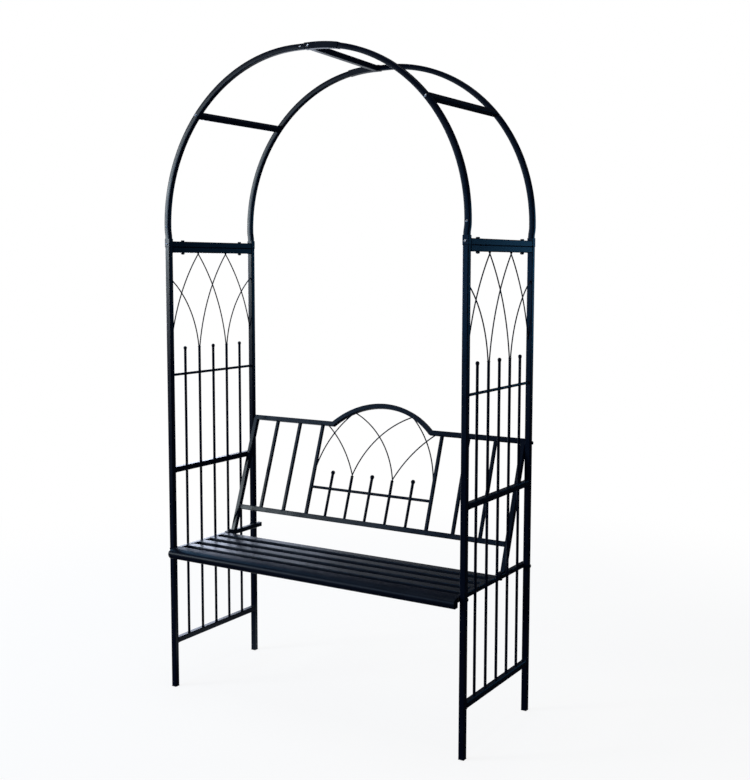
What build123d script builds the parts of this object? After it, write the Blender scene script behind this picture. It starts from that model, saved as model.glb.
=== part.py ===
from build123d import *
import os
from math import acos, asin, atan2, cos, degrees, hypot, radians, sin, sqrt

# Garden arbor bench: two side panels of square tube carry a pair of round-topped hoops, and
# between the panels hang a slatted seat with a rolled front edge and a tilted backrest.
# Millimetres. X runs to the right, Y to the back and Z up. The origin lies on the floor, midway
# between the legs.

os.makedirs("parts", exist_ok=True)

# Fits and cuts that every piece shares
round_sides = 8  # how many sides the thin rods, the bolts and their holes are drawn with
cut_overrun = 6.0  # how far a cutting shape reaches past what it cuts
plug_clearance = 0.15  # around a plug inside its tube
hole_clearance = 0.25  # around a bolt in its hole
weld_gap = 0.1  # between a rod's or wire's end and what it is welded to

# Legs
leg_pitch_across = 1065.0  # between the axes of the left and right legs
leg_pitch_deep = 420.0  # between the axes of a front leg and a rear leg
leg_size = 18.0
leg_wall = 1.2
leg_corner = 1.8
leg_top = 1440.0  # above the floor
foot_flange = 2.0  # thickness of the plug's rim under the leg
foot_plug_depth = 14.0

# Side panels between the legs
panel_low_height = 154.0  # axis of the bottom rail
panel_middle_height = 721.0  # axis of the middle rail
rod_diameter = 8.0
ball_diameter = 11.0
ball_bands = 4  # bands that a ball is drawn with, from the rod under it to its crown
ball_crown_turn = 75.0  # degrees from a ball's equator to the small flat that closes it
tracery_height = 308.0  # from the balls' centres, and the rods that carry wires, to the top rail
cross_rod_drop = 84.0  # below the balls' centres
panel_bays = 6  # bays that the five uprights make between the legs' axes
wire_diameter = 3.2
wire_sides = 6  # a wire's section is drawn as a hexagon
cut_precision = 1e-6  # how finely the place of a wire's cut is found, as a share of its arc

# Side tracery: each wire's start below the rod top, a point half way and its far end, as shares
# of two bays along Y and of the height from the rod top to the rail above
tall_wire_shares = ((-0.008, -0.026), (0.5, 0.677), (1.057, 1.029))
low_wire_shares = ((-0.006, -0.026), (0.579, 0.58), (1.074, 0.769))

# Ties on the panels, and the sockets on the leg tops
socket_size = 19.0
socket_height = 26.0
socket_corner = 0.8
socket_fit = 0.2  # between the hoop and the socket or sleeve around it
tie_bolt_depth = 145.0  # from the mid-plane to each bolt through a tie

# Hoops
hoop_size = 16.5
hoop_wall = 1.2
hoop_set_out = 3.0  # how far a hoop's axis swings out past the legs' axes
hoop_arc_offset = 27.5  # from the middle to the centre of each half's arc
hoop_arc_rise = 39.0  # from the sockets' tops up to those centres
hoop_foot_depth = 22.0  # length of hoop inside its socket
set_bend_radius = 100.0  # the slight double bend just above the socket
sleeve_near = 3.0  # the crown sleeve's nearer end, from the middle
sleeve_length = 116.0
joint_gap = 1.0  # between the two halves inside the sleeve

# Rungs between the hoops
rung_size = 18.0
rung_wall = 1.2
rung_corner = 1.8
side_rung_angle = 41.7  # above the horizontal, round the hoop's arc
crown_rung_shift = 17.0  # the crown rung's ends are staggered this far from the middle
plug_length = 20.0

# Seat
seat_rail_size = 15.0
seat_rail_wall = 1.2
seat_rail_corner = 1.5
seat_height = 468.0  # top of the rails and slats
seat_rail_front = 222.0  # ahead of the mid-plane
seat_rail_rear = 226.0  # behind the mid-plane
rail_cap_rim = 1.2
rail_cap_depth = 7.0
slat_width = 30.0
slat_thickness = 12.0
slat_wall = 1.2
slat_corner = 1.2
slat_count = 4
slat_pitch = 59.5
first_slat_depth = 157.0  # axis of the front slat, ahead of the mid-plane
bearer_width = 25.0
bearer_thickness = 4.0
edge_sheet = 1.5
edge_radius = 17.5  # outside of the rolled front edge
edge_nose = 250.0  # front of the roll, ahead of the mid-plane
edge_back = 203.0  # rear of its flat part, ahead of the mid-plane
edge_sweep = 156.0  # degrees that the roll turns
edge_side_gap = 2.0  # between the roll's end and the leg

# Backrest, laid out up its own slope from a line level with the seat
back_recline = 19.6  # degrees from upright
back_base_depth = 79.0  # where the slope starts, behind the mid-plane
back_base_drop = 3.0  # from the seat's top down to where the slope starts
back_tube = 16.0
back_wall = 1.2
back_corner = 1.6
back_lower_rise = 86.0  # up the slope to the lower rail's axis
back_cross_rise = 186.0
back_ball_rise = 241.0  # to the balls' centres
back_springer_rise = 236.0  # to the top of the rods that carry wires
back_top_rise = 405.0  # to the top rail's axis
arch_radius = 277.0
arch_height = 74.5  # crest of the raised arch above the rail
back_slat_size = 10.0
back_slat_count = 3  # on each side of the centre panel
border_slat_reach = 231.0  # from the middle to the slat beside the centre panel
back_rod_pitch = 77.3
back_wire_diameter = 3.0

# Backrest tracery: points as shares of the rod pitch across and of the height from the rod top
# to the crest of the arch's underside
long_wire_shares = ((-0.02, -0.025), (1.0, 0.589), (2.5, 0.917))
short_wire_shares = ((-0.034, -0.025), (0.737, 0.391), (1.826, 0.722))
border_wire_shares = ((0.017, -0.081), (0.686, 0.582), (1.544, 0.909))

# Foot plates under the backrest's stiles
foot_plate_length = 50.0
foot_plate_thickness = 2.5
foot_bolt_setback = 22.0  # from the stile's axis forward to the bolt

# Bolts and nuts
bolt_diameter = 6.0
bolt_head_across = 10.0
bolt_head_height = 4.0
bolt_end = 1.0  # length past the nut
nut_across = 10.0
nut_height = 5.0

# Places that follow from those sizes
half_across = leg_pitch_across / 2
half_deep = leg_pitch_deep / 2
leg_inner = half_across - leg_size / 2
bay_length = leg_pitch_deep - leg_size
panel_top_height = leg_top - leg_size / 2
ball_height = leg_top - leg_size - tracery_height
cross_rod_height = ball_height - cross_rod_drop
upright_pitch = leg_pitch_deep / panel_bays
bolt_hole = bolt_diameter + 2 * hole_clearance
seat_rail_axis = leg_inner - seat_rail_size / 2
seat_rail_inner = leg_inner - seat_rail_size
seat_rail_height = seat_height - seat_rail_size / 2
stile_axis = leg_inner - back_tube / 2
stile_inner = leg_inner - back_tube
back_slat_pitch = (stile_axis - border_slat_reach) / back_slat_count
socket_top = leg_top + socket_height
hoop_arc_height = socket_top + hoop_arc_rise
hoop_radius = half_across + hoop_set_out - hoop_arc_offset
crown_height = hoop_arc_height + hoop_radius
sleeve_far = sleeve_near + sleeve_length
halves_meet = (sleeve_near + sleeve_far) / 2
lean = radians(back_recline)
back_base_height = seat_height - back_base_drop

# The backrest's own plane: across, then up the slope, facing the sitter
back_plane = Plane(
    origin=(0, back_base_depth, back_base_height),
    x_dir=(1, 0, 0),
    z_dir=(0, -cos(lean), sin(lean)),
)
back_bolt_depth = half_deep - (leg_size - bolt_diameter) / 3
back_bolt_height = back_base_height + (back_bolt_depth - back_base_depth) / sin(lean) * cos(lean)
foot_plate_top = seat_height + foot_plate_thickness
stile_foot_depth = back_base_depth + (foot_plate_top - back_base_height) * sin(lean) / cos(lean)
foot_bolt_depth = stile_foot_depth - foot_bolt_setback


def tube_section(width, height, wall, corner):
    """Draw a rectangular tube's section, its outer corners eased, in the sketch that is open."""
    outline = Rectangle(width, height)
    chamfer(outline.vertices(), corner)
    Rectangle(width - 2 * wall, height - 2 * wall, mode=Mode.SUBTRACT)


def bent_tube_section(size, wall):
    """Draw a square tube's section with sharp corners, which keep a bent tube's faces few."""
    Rectangle(size, size)
    Rectangle(size - 2 * wall, size - 2 * wall, mode=Mode.SUBTRACT)


def plug_section(size, wall):
    """Draw the section of a plug that fits inside a square tube, in the sketch that is open."""
    body = size - 2 * wall - 2 * plug_clearance
    Rectangle(body, body)


def drill(places, direction, diameter, length):
    """Cut round holes centred on the places through the part that is open."""
    for place in places:
        with BuildSketch(Plane(origin=place, z_dir=direction)) as hole:
            RegularPolygon(diameter / 2, round_sides)
        extrude(hole.sketch, amount=length / 2, both=True, mode=Mode.SUBTRACT)


def short_rods(middle, stops):
    """Make a line of rods between upright rods, along a plane's normal, in the part that is open.

    The first and last stops are flat faces and the others are the axes of upright rods.
    """
    clearance = rod_diameter / 2 + weld_gap
    for number, (start, finish) in enumerate(zip(stops, stops[1:])):
        first = start if number == 0 else start + clearance
        last = finish if number == len(stops) - 2 else finish - clearance
        with BuildSketch(middle.offset(first)) as section:
            RegularPolygon(rod_diameter / 2, round_sides)
        extrude(section.sketch, amount=last - first)


def rod_balls(places, rod_plane):
    """Shape a ball round each place, on the rod below it, in the part that is open."""
    first_turn = -acos(rod_diameter / ball_diameter)
    last_turn = radians(ball_crown_turn)
    for place in places:
        equator = Plane(place, x_dir=rod_plane.x_dir, z_dir=rod_plane.z_dir)
        sections = []
        for band in range(ball_bands + 1):
            turn = first_turn + (last_turn - first_turn) * band / ball_bands
            with BuildSketch(equator.offset(ball_diameter / 2 * sin(turn))) as section:
                RegularPolygon(ball_diameter / 2 * cos(turn), round_sides)
            sections.append(section.sketch)
        loft(sections, ruled=True)


def hex_bolts(places, length):
    """Make hexagon-headed bolts: each place is where the head sits and the way that it faces."""
    with BuildPart() as bolts:
        for spot, facing in places:
            with BuildSketch(Plane(origin=spot, z_dir=facing)):
                RegularPolygon(bolt_head_across / 2, 6, major_radius=False)
            extrude(amount=bolt_head_height)
            with BuildSketch(Plane(origin=spot, z_dir=facing)):
                RegularPolygon(bolt_diameter / 2, round_sides)
            extrude(amount=-length)
    return bolts.part


# Sides of the object, as a name and a sign along X; ends, as a name and a sign along Y
sides = (("left", -1), ("right", 1))
ends = (("front", -1), ("rear", 1))

# Legs: one square tube each, drilled for the seat bolts and, at the rear, the backrest bolts
for side, across in sides:
    for end, deep in ends:
        with BuildPart() as leg:
            with BuildSketch(Plane((across * half_across, deep * half_deep, foot_flange))):
                tube_section(leg_size, leg_size, leg_wall, leg_corner)
            extrude(amount=leg_top - foot_flange)
            bolt_places = [(across * half_across, deep * half_deep, seat_rail_height)]
            if end == "rear":
                bolt_places.append((across * half_across, back_bolt_depth, back_bolt_height))
            drill(bolt_places, (1, 0, 0), bolt_hole, leg_size + cut_overrun)
        leg.part.label = f"{side}_{end}_leg"
        export_step(leg.part, f"parts/{leg.part.label}.step")

# Foot plugs: a rim under each leg and a body pressed up inside it
with BuildPart() as foot_plugs:
    with BuildSketch():
        with GridLocations(leg_pitch_across, leg_pitch_deep, 2, 2):
            Rectangle(leg_size, leg_size)
    extrude(amount=foot_flange)
    with BuildSketch(Plane.XY.offset(foot_flange)):
        with GridLocations(leg_pitch_across, leg_pitch_deep, 2, 2):
            plug_section(leg_size, leg_wall)
    extrude(amount=foot_plug_depth)
foot_plugs.part.label = "foot_plugs"
export_step(foot_plugs.part, "parts/foot_plugs.step")

# Panel rails: welded between the legs, the top one drilled for the tie bolts
panel_rails = (
    ("bottom_rail", panel_low_height),
    ("middle_rail", panel_middle_height),
    ("top_rail", panel_top_height),
)
upright_depths = [step * upright_pitch for step in range(1 - panel_bays // 2, panel_bays // 2)]
for side, across in sides:
    for rail, height in panel_rails:
        with BuildPart() as panel_rail:
            with BuildSketch(Plane((across * half_across, 0, height), z_dir=(0, 1, 0))):
                tube_section(leg_size, leg_size, leg_wall, leg_corner)
            extrude(amount=bay_length / 2, both=True)
            if rail == "top_rail":
                bolted = [(across * half_across, end * tie_bolt_depth, height) for end in (-1, 1)]
                drill(bolted, (0, 0, 1), bolt_hole, leg_size + cut_overrun)
        panel_rail.part.label = f"{side}_{rail}"
        export_step(panel_rail.part, f"parts/{panel_rail.part.label}.step")

# Uprights: rods between the bottom and middle rails and on from the middle one, every other rod
# ending in a ball
ball_seat_drop = sqrt(ball_diameter**2 - rod_diameter**2) / 2
for side, across in sides:
    with BuildPart() as uprights:
        for number, depth in enumerate(upright_depths):
            rod_top = ball_height if number % 2 else ball_height - ball_seat_drop
            upright_runs = (
                (panel_low_height + leg_size / 2, panel_middle_height - leg_size / 2),
                (panel_middle_height + leg_size / 2, rod_top),
            )
            for foot, top in upright_runs:
                with BuildSketch(Plane((across * half_across, depth, foot))):
                    RegularPolygon(rod_diameter / 2, round_sides)
                extrude(amount=top - foot)
        ball_places = [(across * half_across, depth, ball_height) for depth in upright_depths[::2]]
        rod_balls(ball_places, Plane.XY)
    uprights.part.label = f"{side}_uprights"
    export_step(uprights.part, f"parts/{uprights.part.label}.step")

# Cross rods: one line of short rods, welded between the uprights
for side, across in sides:
    rod_middle = Plane((across * half_across, 0, cross_rod_height), z_dir=(0, 1, 0))
    with BuildPart() as cross_rod:
        short_rods(rod_middle, (-bay_length / 2, *upright_depths, bay_length / 2))
    cross_rod.part.label = f"{side}_cross_rod"
    export_step(cross_rod.part, f"parts/{cross_rod.part.label}.step")


def cut_place(arc, outer, half_width, fits):
    """Return how far along an arc, from its outer end inward, a wire's whole width first fits."""
    inner = 1 / 2
    while abs(outer - inner) > cut_precision:
        middle = (outer + inner) / 2
        outward = (arc @ middle - arc.arc_center).normalized() * half_width
        if fits(arc @ middle + outward) and fits(arc @ middle - outward):
            inner = middle
        else:
            outer = middle
    return inner


def bent_wires(routes, frame, across_share, up_share, layer, diameter, fits):
    """Bend wires in two layers beside a plane, in the part that is open.

    Each route is a start point in the plane, the way it leans and its table of shares. A wire's
    ends are cut square where they first fit in the opening.
    """
    for start, leaning, shares in routes:
        points = [
            (start[0] + leaning * share * across_share, start[1] + rise * up_share)
            for share, rise in shares
        ]
        arc = ThreePointArc(*points, mode=Mode.PRIVATE)
        foot = cut_place(arc, 0, diameter / 2, fits)
        tip = cut_place(arc, 1, diameter / 2, fits)
        layer_frame = frame.offset(leaning * layer)
        centre = layer_frame.from_local_coords(arc.arc_center)
        begin = layer_frame.from_local_coords(arc @ foot)
        heading = layer_frame.from_local_coords(arc % foot) - layer_frame.origin
        with BuildSketch(Plane(origin=begin, x_dir=frame.z_dir, z_dir=heading)) as section:
            RegularPolygon(diameter / 2, wire_sides)
        turning_axis = Axis(centre, (begin - centre).cross(heading))
        turn = degrees(arc.length * (tip - foot) / arc.radius)
        revolve(section.sketch, axis=turning_axis, revolution_arc=turn)


def fits_side_panel(point):
    """Return whether a point, as depth and height, is clear inside a side panel's upper opening."""
    return (
        abs(point.X) < bay_length / 2 - weld_gap
        and ball_height + weld_gap < point.Y < ball_height + tracery_height - weld_gap
    )


# Side tracery: wires spring from the legs and from the two plain rods, lean both ways in two
# layers that just pass each other, and end under the top rail or against a leg
wire_layer = wire_diameter / 2 + weld_gap
for side, across in sides:
    panel_plane = Plane((across * half_across, 0, 0), x_dir=(0, 1, 0), z_dir=(1, 0, 0))
    springs = (
        (-half_deep, 1, tall_wire_shares),
        (-upright_pitch, 1, tall_wire_shares),
        (upright_pitch, 1, low_wire_shares),
        (half_deep, -1, tall_wire_shares),
        (upright_pitch, -1, tall_wire_shares),
        (-upright_pitch, -1, low_wire_shares),
    )
    routes = [((depth, ball_height), leaning, shares) for depth, leaning, shares in springs]
    with BuildPart() as tracery:
        bent_wires(
            routes,
            panel_plane,
            2 * upright_pitch,
            tracery_height,
            wire_layer,
            wire_diameter,
            fits_side_panel,
        )
    tracery.part.label = f"{side}_tracery"
    export_step(tracery.part, f"parts/{tracery.part.label}.step")

# Sockets: short tubes on the leg tops that take the feet of the hoops
socket_inner = hoop_size + 2 * socket_fit
socket_wall = (socket_size - socket_inner) / 2
for side, across in sides:
    for end, deep in ends:
        with BuildPart() as socket:
            with BuildSketch(Plane((across * half_across, deep * half_deep, leg_top))):
                tube_section(socket_size, socket_size, socket_wall, socket_corner)
            extrude(amount=socket_height)
        socket.part.label = f"{side}_{end}_socket"
        export_step(socket.part, f"parts/{socket.part.label}.step")

# Ties: a tube on each top rail, from socket to socket, bolted down
tie_length = leg_pitch_deep - socket_size
tie_height = leg_top + leg_size / 2
for side, across in sides:
    with BuildPart() as tie:
        with BuildSketch(Plane((across * half_across, 0, tie_height), z_dir=(0, 1, 0))):
            tube_section(leg_size, leg_size, leg_wall, leg_corner)
        extrude(amount=tie_length / 2, both=True)
        bolted = [(across * half_across, end * tie_bolt_depth, tie_height) for end in (-1, 1)]
        drill(bolted, (0, 0, 1), bolt_hole, leg_size + cut_overrun)
    tie.part.label = f"{side}_tie"
    export_step(tie.part, f"parts/{tie.part.label}.step")

# Hoops: each half rises from its socket, sets outward in a small double bend and follows one
# arc to the crown. The double bend's two arcs touch the upright stretch and the big arc.
first_bend = (half_across + set_bend_radius, socket_top)
to_arc = (first_bend[0] - hoop_arc_offset, first_bend[1] - hoop_arc_height)
centre_gap = hypot(*to_arc)
inner_reach = hoop_radius - set_bend_radius
along = (inner_reach**2 - (2 * set_bend_radius) ** 2 + centre_gap**2) / (2 * centre_gap)
rise = sqrt(inner_reach**2 - along**2)
arc_start = atan2(to_arc[1], to_arc[0]) + atan2(rise, along)
second_bend = (
    hoop_arc_offset + inner_reach * cos(arc_start),
    hoop_arc_height + inner_reach * sin(arc_start),
)
outward_turn = atan2(second_bend[1] - first_bend[1], first_bend[0] - second_bend[0])
inward_turn = outward_turn + arc_start


def hoop_plane(side_sign, end_sign):
    """Return the plane of one hoop, with its first axis pointing to the named side."""
    return Plane((0, end_sign * half_deep, 0), x_dir=(side_sign, 0, 0), z_dir=(0, -side_sign, 0))


def hoop_point(angle):
    """Return the point on a half's big arc at an angle in degrees above the horizontal."""
    return (
        hoop_arc_offset + hoop_radius * cos(radians(angle)),
        hoop_arc_height + hoop_radius * sin(radians(angle)),
    )


def crown_fall(reach):
    """Return how many degrees the arc has turned down at a distance from the middle."""
    return degrees(asin((reach - hoop_arc_offset) / hoop_radius))


long_reach = halves_meet - joint_gap / 2
short_reach = halves_meet + joint_gap / 2
for side, across in sides:
    for end, deep in ends:
        passes_crown = across * deep > 0
        frame = hoop_plane(across, deep)
        arc_turn = 90 - degrees(arc_start) - (0 if passes_crown else crown_fall(short_reach))
        with BuildPart() as hoop:
            with BuildLine(frame) as route:
                foot = Line(
                    (half_across, socket_top - hoop_foot_depth), (half_across, socket_top)
                )
                outward = JernArc(foot @ 1, foot % 1, set_bend_radius, -degrees(outward_turn))
                inward = JernArc(outward @ 1, outward % 1, set_bend_radius, degrees(inward_turn))
                arc = JernArc(inward @ 1, inward % 1, hoop_radius, arc_turn)
                if passes_crown:
                    level = Line(arc @ 1, arc @ 1 + 2 * hoop_arc_offset * (arc % 1))
                    JernArc(level @ 1, level % 1, hoop_radius, crown_fall(long_reach))
            foot_plane = Plane(
                (across * half_across, deep * half_deep, socket_top - hoop_foot_depth)
            )
            with BuildSketch(foot_plane):
                bent_tube_section(hoop_size, hoop_wall)
            sweep(path=route.line)
        hoop.part.label = f"{side}_{end}_hoop"
        export_step(hoop.part, f"parts/{hoop.part.label}.step")

# Crown sleeves: one on each hoop, round the joint of its halves, bent to the same arc
sleeve_frames = (("front_sleeve", 1, -1), ("rear_sleeve", -1, 1))
for name, across, deep in sleeve_frames:
    with BuildPart() as sleeve:
        with BuildLine(hoop_plane(across, deep)) as route:
            level = Line((sleeve_near, crown_height), (hoop_arc_offset, crown_height))
            JernArc(level @ 1, level % 1, hoop_radius, -crown_fall(sleeve_far))
        near_end = Plane((across * sleeve_near, deep * half_deep, crown_height), z_dir=(across, 0, 0))
        with BuildSketch(near_end):
            bent_tube_section(socket_size, socket_wall)
        sweep(path=route.line)
    sleeve.part.label = name
    export_step(sleeve.part, f"parts/{name}.step")

# Side rungs: square tube between the hoops, turned to lie along the arc
side_rung_length = leg_pitch_deep - hoop_size
rung_x, rung_z = hoop_point(side_rung_angle)
tangent = (-sin(radians(side_rung_angle)), 0, cos(radians(side_rung_angle)))
for side, across in sides:
    with BuildPart() as rung:
        rung_plane = Plane(
            (across * rung_x, 0, rung_z), x_dir=(across * tangent[0], 0, tangent[2]), z_dir=(0, 1, 0)
        )
        with BuildSketch(rung_plane):
            tube_section(rung_size, rung_size, rung_wall, rung_corner)
        extrude(amount=side_rung_length / 2, both=True)
    rung.part.label = f"{side}_rung"
    export_step(rung.part, f"parts/{rung.part.label}.step")

# Crown rung: runs at a slight slant, because the sleeves stand on opposite sides of the middle
crown_rung_length = leg_pitch_deep - socket_size
slant = Vector(-2 * crown_rung_shift, crown_rung_length, 0).normalized()
crown_rung_plane = Plane((0, 0, crown_height), x_dir=(slant.Y, -slant.X, 0), z_dir=slant)
with BuildPart() as crown_rung:
    with BuildSketch(crown_rung_plane):
        tube_section(rung_size, rung_size, rung_wall, rung_corner)
    extrude(amount=crown_rung_length / 2 + cut_overrun, both=True)
    with Locations((0, 0, crown_height)):
        Box(leg_pitch_across, crown_rung_length, 2 * rung_size, mode=Mode.INTERSECT)
crown_rung.part.label = "crown_rung"
export_step(crown_rung.part, "parts/crown_rung.step")

# Inner plugs in the ends of the ties and rungs, for the screws through the sockets and hoops
with BuildPart() as inner_plugs:
    for side, across in sides:
        for end, deep in ends:
            tie_end = Plane((across * half_across, deep * tie_length / 2, tie_height), z_dir=(0, -deep, 0))
            with BuildSketch(tie_end):
                plug_section(rung_size, rung_wall)
            extrude(amount=plug_length)
            rung_end = Plane(
                (across * rung_x, deep * side_rung_length / 2, rung_z),
                x_dir=(across * tangent[0], 0, tangent[2]),
                z_dir=(0, -deep, 0),
            )
            with BuildSketch(rung_end):
                plug_section(rung_size, rung_wall)
            extrude(amount=plug_length)
for end, deep in ends:
    with BuildPart() as crown_plug:
        with BuildSketch(crown_rung_plane.offset(deep * (crown_rung_length / 2 - plug_length))):
            plug_section(rung_size, rung_wall)
        extrude(amount=deep * (plug_length + cut_overrun))
        with Locations((0, 0, crown_height)):
            Box(leg_pitch_across, crown_rung_length, 2 * rung_size, mode=Mode.INTERSECT)
    with inner_plugs:
        add(crown_plug.part)
inner_plugs.part.label = "inner_plugs"
export_step(inner_plugs.part, "parts/inner_plugs.step")

# Seat rails: square tube inside the legs, each drilled for two leg bolts and the foot bolt
seat_rail_length = seat_rail_front + seat_rail_rear
for side, across in sides:
    rail_x = across * seat_rail_axis
    with BuildPart() as seat_rail:
        rail_start = Plane((rail_x, -seat_rail_front, seat_rail_height), z_dir=(0, 1, 0))
        with BuildSketch(rail_start):
            tube_section(seat_rail_size, seat_rail_size, seat_rail_wall, seat_rail_corner)
        extrude(amount=seat_rail_length)
        leg_bolts = [(rail_x, deep * half_deep, seat_rail_height) for end, deep in ends]
        drill(leg_bolts, (1, 0, 0), bolt_hole, seat_rail_size + cut_overrun)
        foot_bolt = (rail_x, foot_bolt_depth, seat_rail_height)
        drill([foot_bolt], (0, 0, 1), bolt_hole, seat_rail_size + cut_overrun)
    seat_rail.part.label = f"{side}_seat_rail"
    export_step(seat_rail.part, f"parts/{seat_rail.part.label}.step")

# Rail caps: a thin rim over each open end of a seat rail, and a body inside it
with BuildPart() as rail_caps:
    for depth, facing in ((-seat_rail_front, -1), (seat_rail_rear, 1)):
        for side, across in sides:
            cap_plane = Plane(
                (across * seat_rail_axis, depth, seat_rail_height), z_dir=(0, facing, 0)
            )
            with BuildSketch(cap_plane):
                Rectangle(seat_rail_size, seat_rail_size)
            extrude(amount=rail_cap_rim)
            with BuildSketch(cap_plane):
                plug_section(seat_rail_size, seat_rail_wall)
            extrude(amount=-rail_cap_depth)
rail_caps.part.label = "rail_caps"
export_step(rail_caps.part, "parts/rail_caps.step")

# Seat slats: flat tubes between the rails, level with their tops
for number in range(1, slat_count + 1):
    slat_depth = -first_slat_depth + (number - 1) * slat_pitch
    slat_centre = (0, slat_depth, seat_height - slat_thickness / 2)
    with BuildPart() as slat:
        with BuildSketch(Plane(slat_centre, x_dir=(0, 1, 0), z_dir=(1, 0, 0))):
            tube_section(slat_width, slat_thickness, slat_wall, slat_corner)
        extrude(amount=seat_rail_inner, both=True)
    slat.part.label = f"seat_slat_{number}"
    export_step(slat.part, f"parts/{slat.part.label}.step")

# Centre bearer: a flat bar welded across the undersides of the slats
last_slat_depth = -first_slat_depth + (slat_count - 1) * slat_pitch
with BuildPart() as bearer:
    bearer_middle = (last_slat_depth - first_slat_depth) / 2
    bearer_length = last_slat_depth + first_slat_depth + slat_width
    with BuildSketch(Plane((0, bearer_middle, seat_height - slat_thickness - bearer_thickness))):
        Rectangle(bearer_width, bearer_length)
    extrude(amount=bearer_thickness)
bearer.part.label = "seat_bearer"
export_step(bearer.part, "parts/seat_bearer.step")

# Rolled front edge: a sheet that lies on the rails, turns down round the front and curls back
# under, with a closing plate in each end ahead of the rail caps
edge_reach = leg_inner - edge_side_gap
roll_centre = (-edge_nose + edge_radius, seat_height + edge_sheet - edge_radius)
curl_end = radians(90 + edge_sweep)
end_plate_back = -seat_rail_front - rail_cap_rim - weld_gap


def on_roll(radius, angle):
    """Return a point at a radius from the roll's centre and an angle in radians."""
    return (roll_centre[0] + radius * cos(angle), roll_centre[1] + radius * sin(angle))


edge_plane = Plane.YZ
half_sweep = radians(90 + edge_sweep / 2)
roll_inner = edge_radius - edge_sheet
with BuildPart() as front_edge:
    with BuildSketch(edge_plane):
        with BuildLine():
            outer_top = (roll_centre[0], seat_height + edge_sheet)
            inner_top = (roll_centre[0], seat_height)
            Polyline(inner_top, (-edge_back, seat_height), (-edge_back, outer_top[1]), outer_top)
            ThreePointArc(
                outer_top, on_roll(edge_radius, half_sweep), on_roll(edge_radius, curl_end)
            )
            Line(on_roll(edge_radius, curl_end), on_roll(roll_inner, curl_end))
            ThreePointArc(
                on_roll(roll_inner, curl_end), on_roll(roll_inner, half_sweep), inner_top
            )
        make_face()
    extrude(amount=edge_reach, both=True)
    for start in (-edge_reach, edge_reach - edge_sheet):
        with BuildSketch(edge_plane.offset(start)):
            with BuildLine():
                plate_foot = (end_plate_back, roll_centre[1] - roll_inner / 2)
                Polyline(
                    on_roll(roll_inner, curl_end),
                    plate_foot,
                    (end_plate_back, seat_height),
                    inner_top,
                )
                ThreePointArc(
                    inner_top, on_roll(roll_inner, half_sweep), on_roll(roll_inner, curl_end)
                )
            make_face()
        extrude(amount=edge_sheet)
front_edge.part.label = "seat_front_edge"
export_step(front_edge.part, "parts/seat_front_edge.step")

# Backrest stiles: cut level at the foot plate and mitred to the top rail
corner_reach = back_top_rise + back_tube
for side, across in sides:
    with BuildPart() as stile:
        foot_start = back_plane.location * Location((across * stile_axis, -back_tube, 0))
        with BuildSketch(Plane(foot_start.position, x_dir=(1, 0, 0), z_dir=back_plane.y_dir)):
            tube_section(back_tube, back_tube, back_wall, back_corner)
        extrude(amount=corner_reach + back_tube)
        with Locations(Plane((0, 0, foot_plate_top))):
            Box(
                leg_pitch_across,
                2 * leg_pitch_deep,
                corner_reach,
                align=(Align.CENTER, Align.CENTER, Align.MIN),
                mode=Mode.INTERSECT,
            )
        corner = back_plane.from_local_coords((across * stile_axis, back_top_rise, 0))
        mitre = Plane(corner, z_dir=back_plane.x_dir * across - back_plane.y_dir)
        split(bisect_by=mitre, keep=Keep.TOP)
        bolt_line = (across * stile_axis, back_bolt_depth, back_bolt_height)
        drill([bolt_line], (1, 0, 0), bolt_hole, back_tube + cut_overrun)
    stile.part.label = f"{side}_stile"
    export_step(stile.part, f"parts/{stile.part.label}.step")

# Backrest top rail: level at both sides and raised in an arch over the middle
arch_centre = back_top_rise + arch_height - arch_radius
arch_corner = sqrt(arch_radius**2 - (back_top_rise - arch_centre) ** 2)
rail_start = back_plane.from_local_coords((-stile_axis - back_tube, back_top_rise, 0))
with BuildPart() as back_top_rail:
    with BuildLine(back_plane) as route:
        Line((-stile_axis - back_tube, back_top_rise), (-arch_corner, back_top_rise))
        ThreePointArc(
            (-arch_corner, back_top_rise),
            (0, back_top_rise + arch_height),
            (arch_corner, back_top_rise),
        )
        Line((arch_corner, back_top_rise), (stile_axis + back_tube, back_top_rise))
    with BuildSketch(Plane(rail_start, x_dir=back_plane.y_dir, z_dir=(1, 0, 0))):
        tube_section(back_tube, back_tube, back_wall, back_corner)
    sweep(path=route.line, transition=Transition.RIGHT)
    for side, across in sides:
        corner = back_plane.from_local_coords((across * stile_axis, back_top_rise, 0))
        mitre = Plane(corner, z_dir=back_plane.x_dir * across - back_plane.y_dir)
        split(bisect_by=mitre, keep=Keep.BOTTOM)
back_top_rail.part.label = "backrest_top_rail"
export_step(back_top_rail.part, "parts/backrest_top_rail.step")

# Backrest lower rail: between the stiles
with BuildPart() as back_lower_rail:
    lower_centre = back_plane.from_local_coords((0, back_lower_rise, 0))
    with BuildSketch(Plane(lower_centre, x_dir=back_plane.y_dir, z_dir=(1, 0, 0))):
        tube_section(back_tube, back_tube, back_wall, back_corner)
    extrude(amount=stile_inner, both=True)
back_lower_rail.part.label = "backrest_lower_rail"
export_step(back_lower_rail.part, "parts/backrest_lower_rail.step")

# Backrest slats: three thin square bars on each side, between the two rails
inner_foot = back_lower_rise + back_tube / 2
slat_run = back_top_rise - back_tube / 2 - inner_foot
for side, across in sides:
    with BuildPart() as back_slats:
        for step in range(back_slat_count):
            reach = across * (border_slat_reach + step * back_slat_pitch)
            slat_foot = back_plane.from_local_coords((reach, inner_foot, 0))
            with BuildSketch(Plane(slat_foot, x_dir=(1, 0, 0), z_dir=back_plane.y_dir)):
                Rectangle(back_slat_size, back_slat_size)
            extrude(amount=slat_run)
    back_slats.part.label = f"{side}_backrest_slats"
    export_step(back_slats.part, f"parts/{back_slats.part.label}.step")

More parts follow.
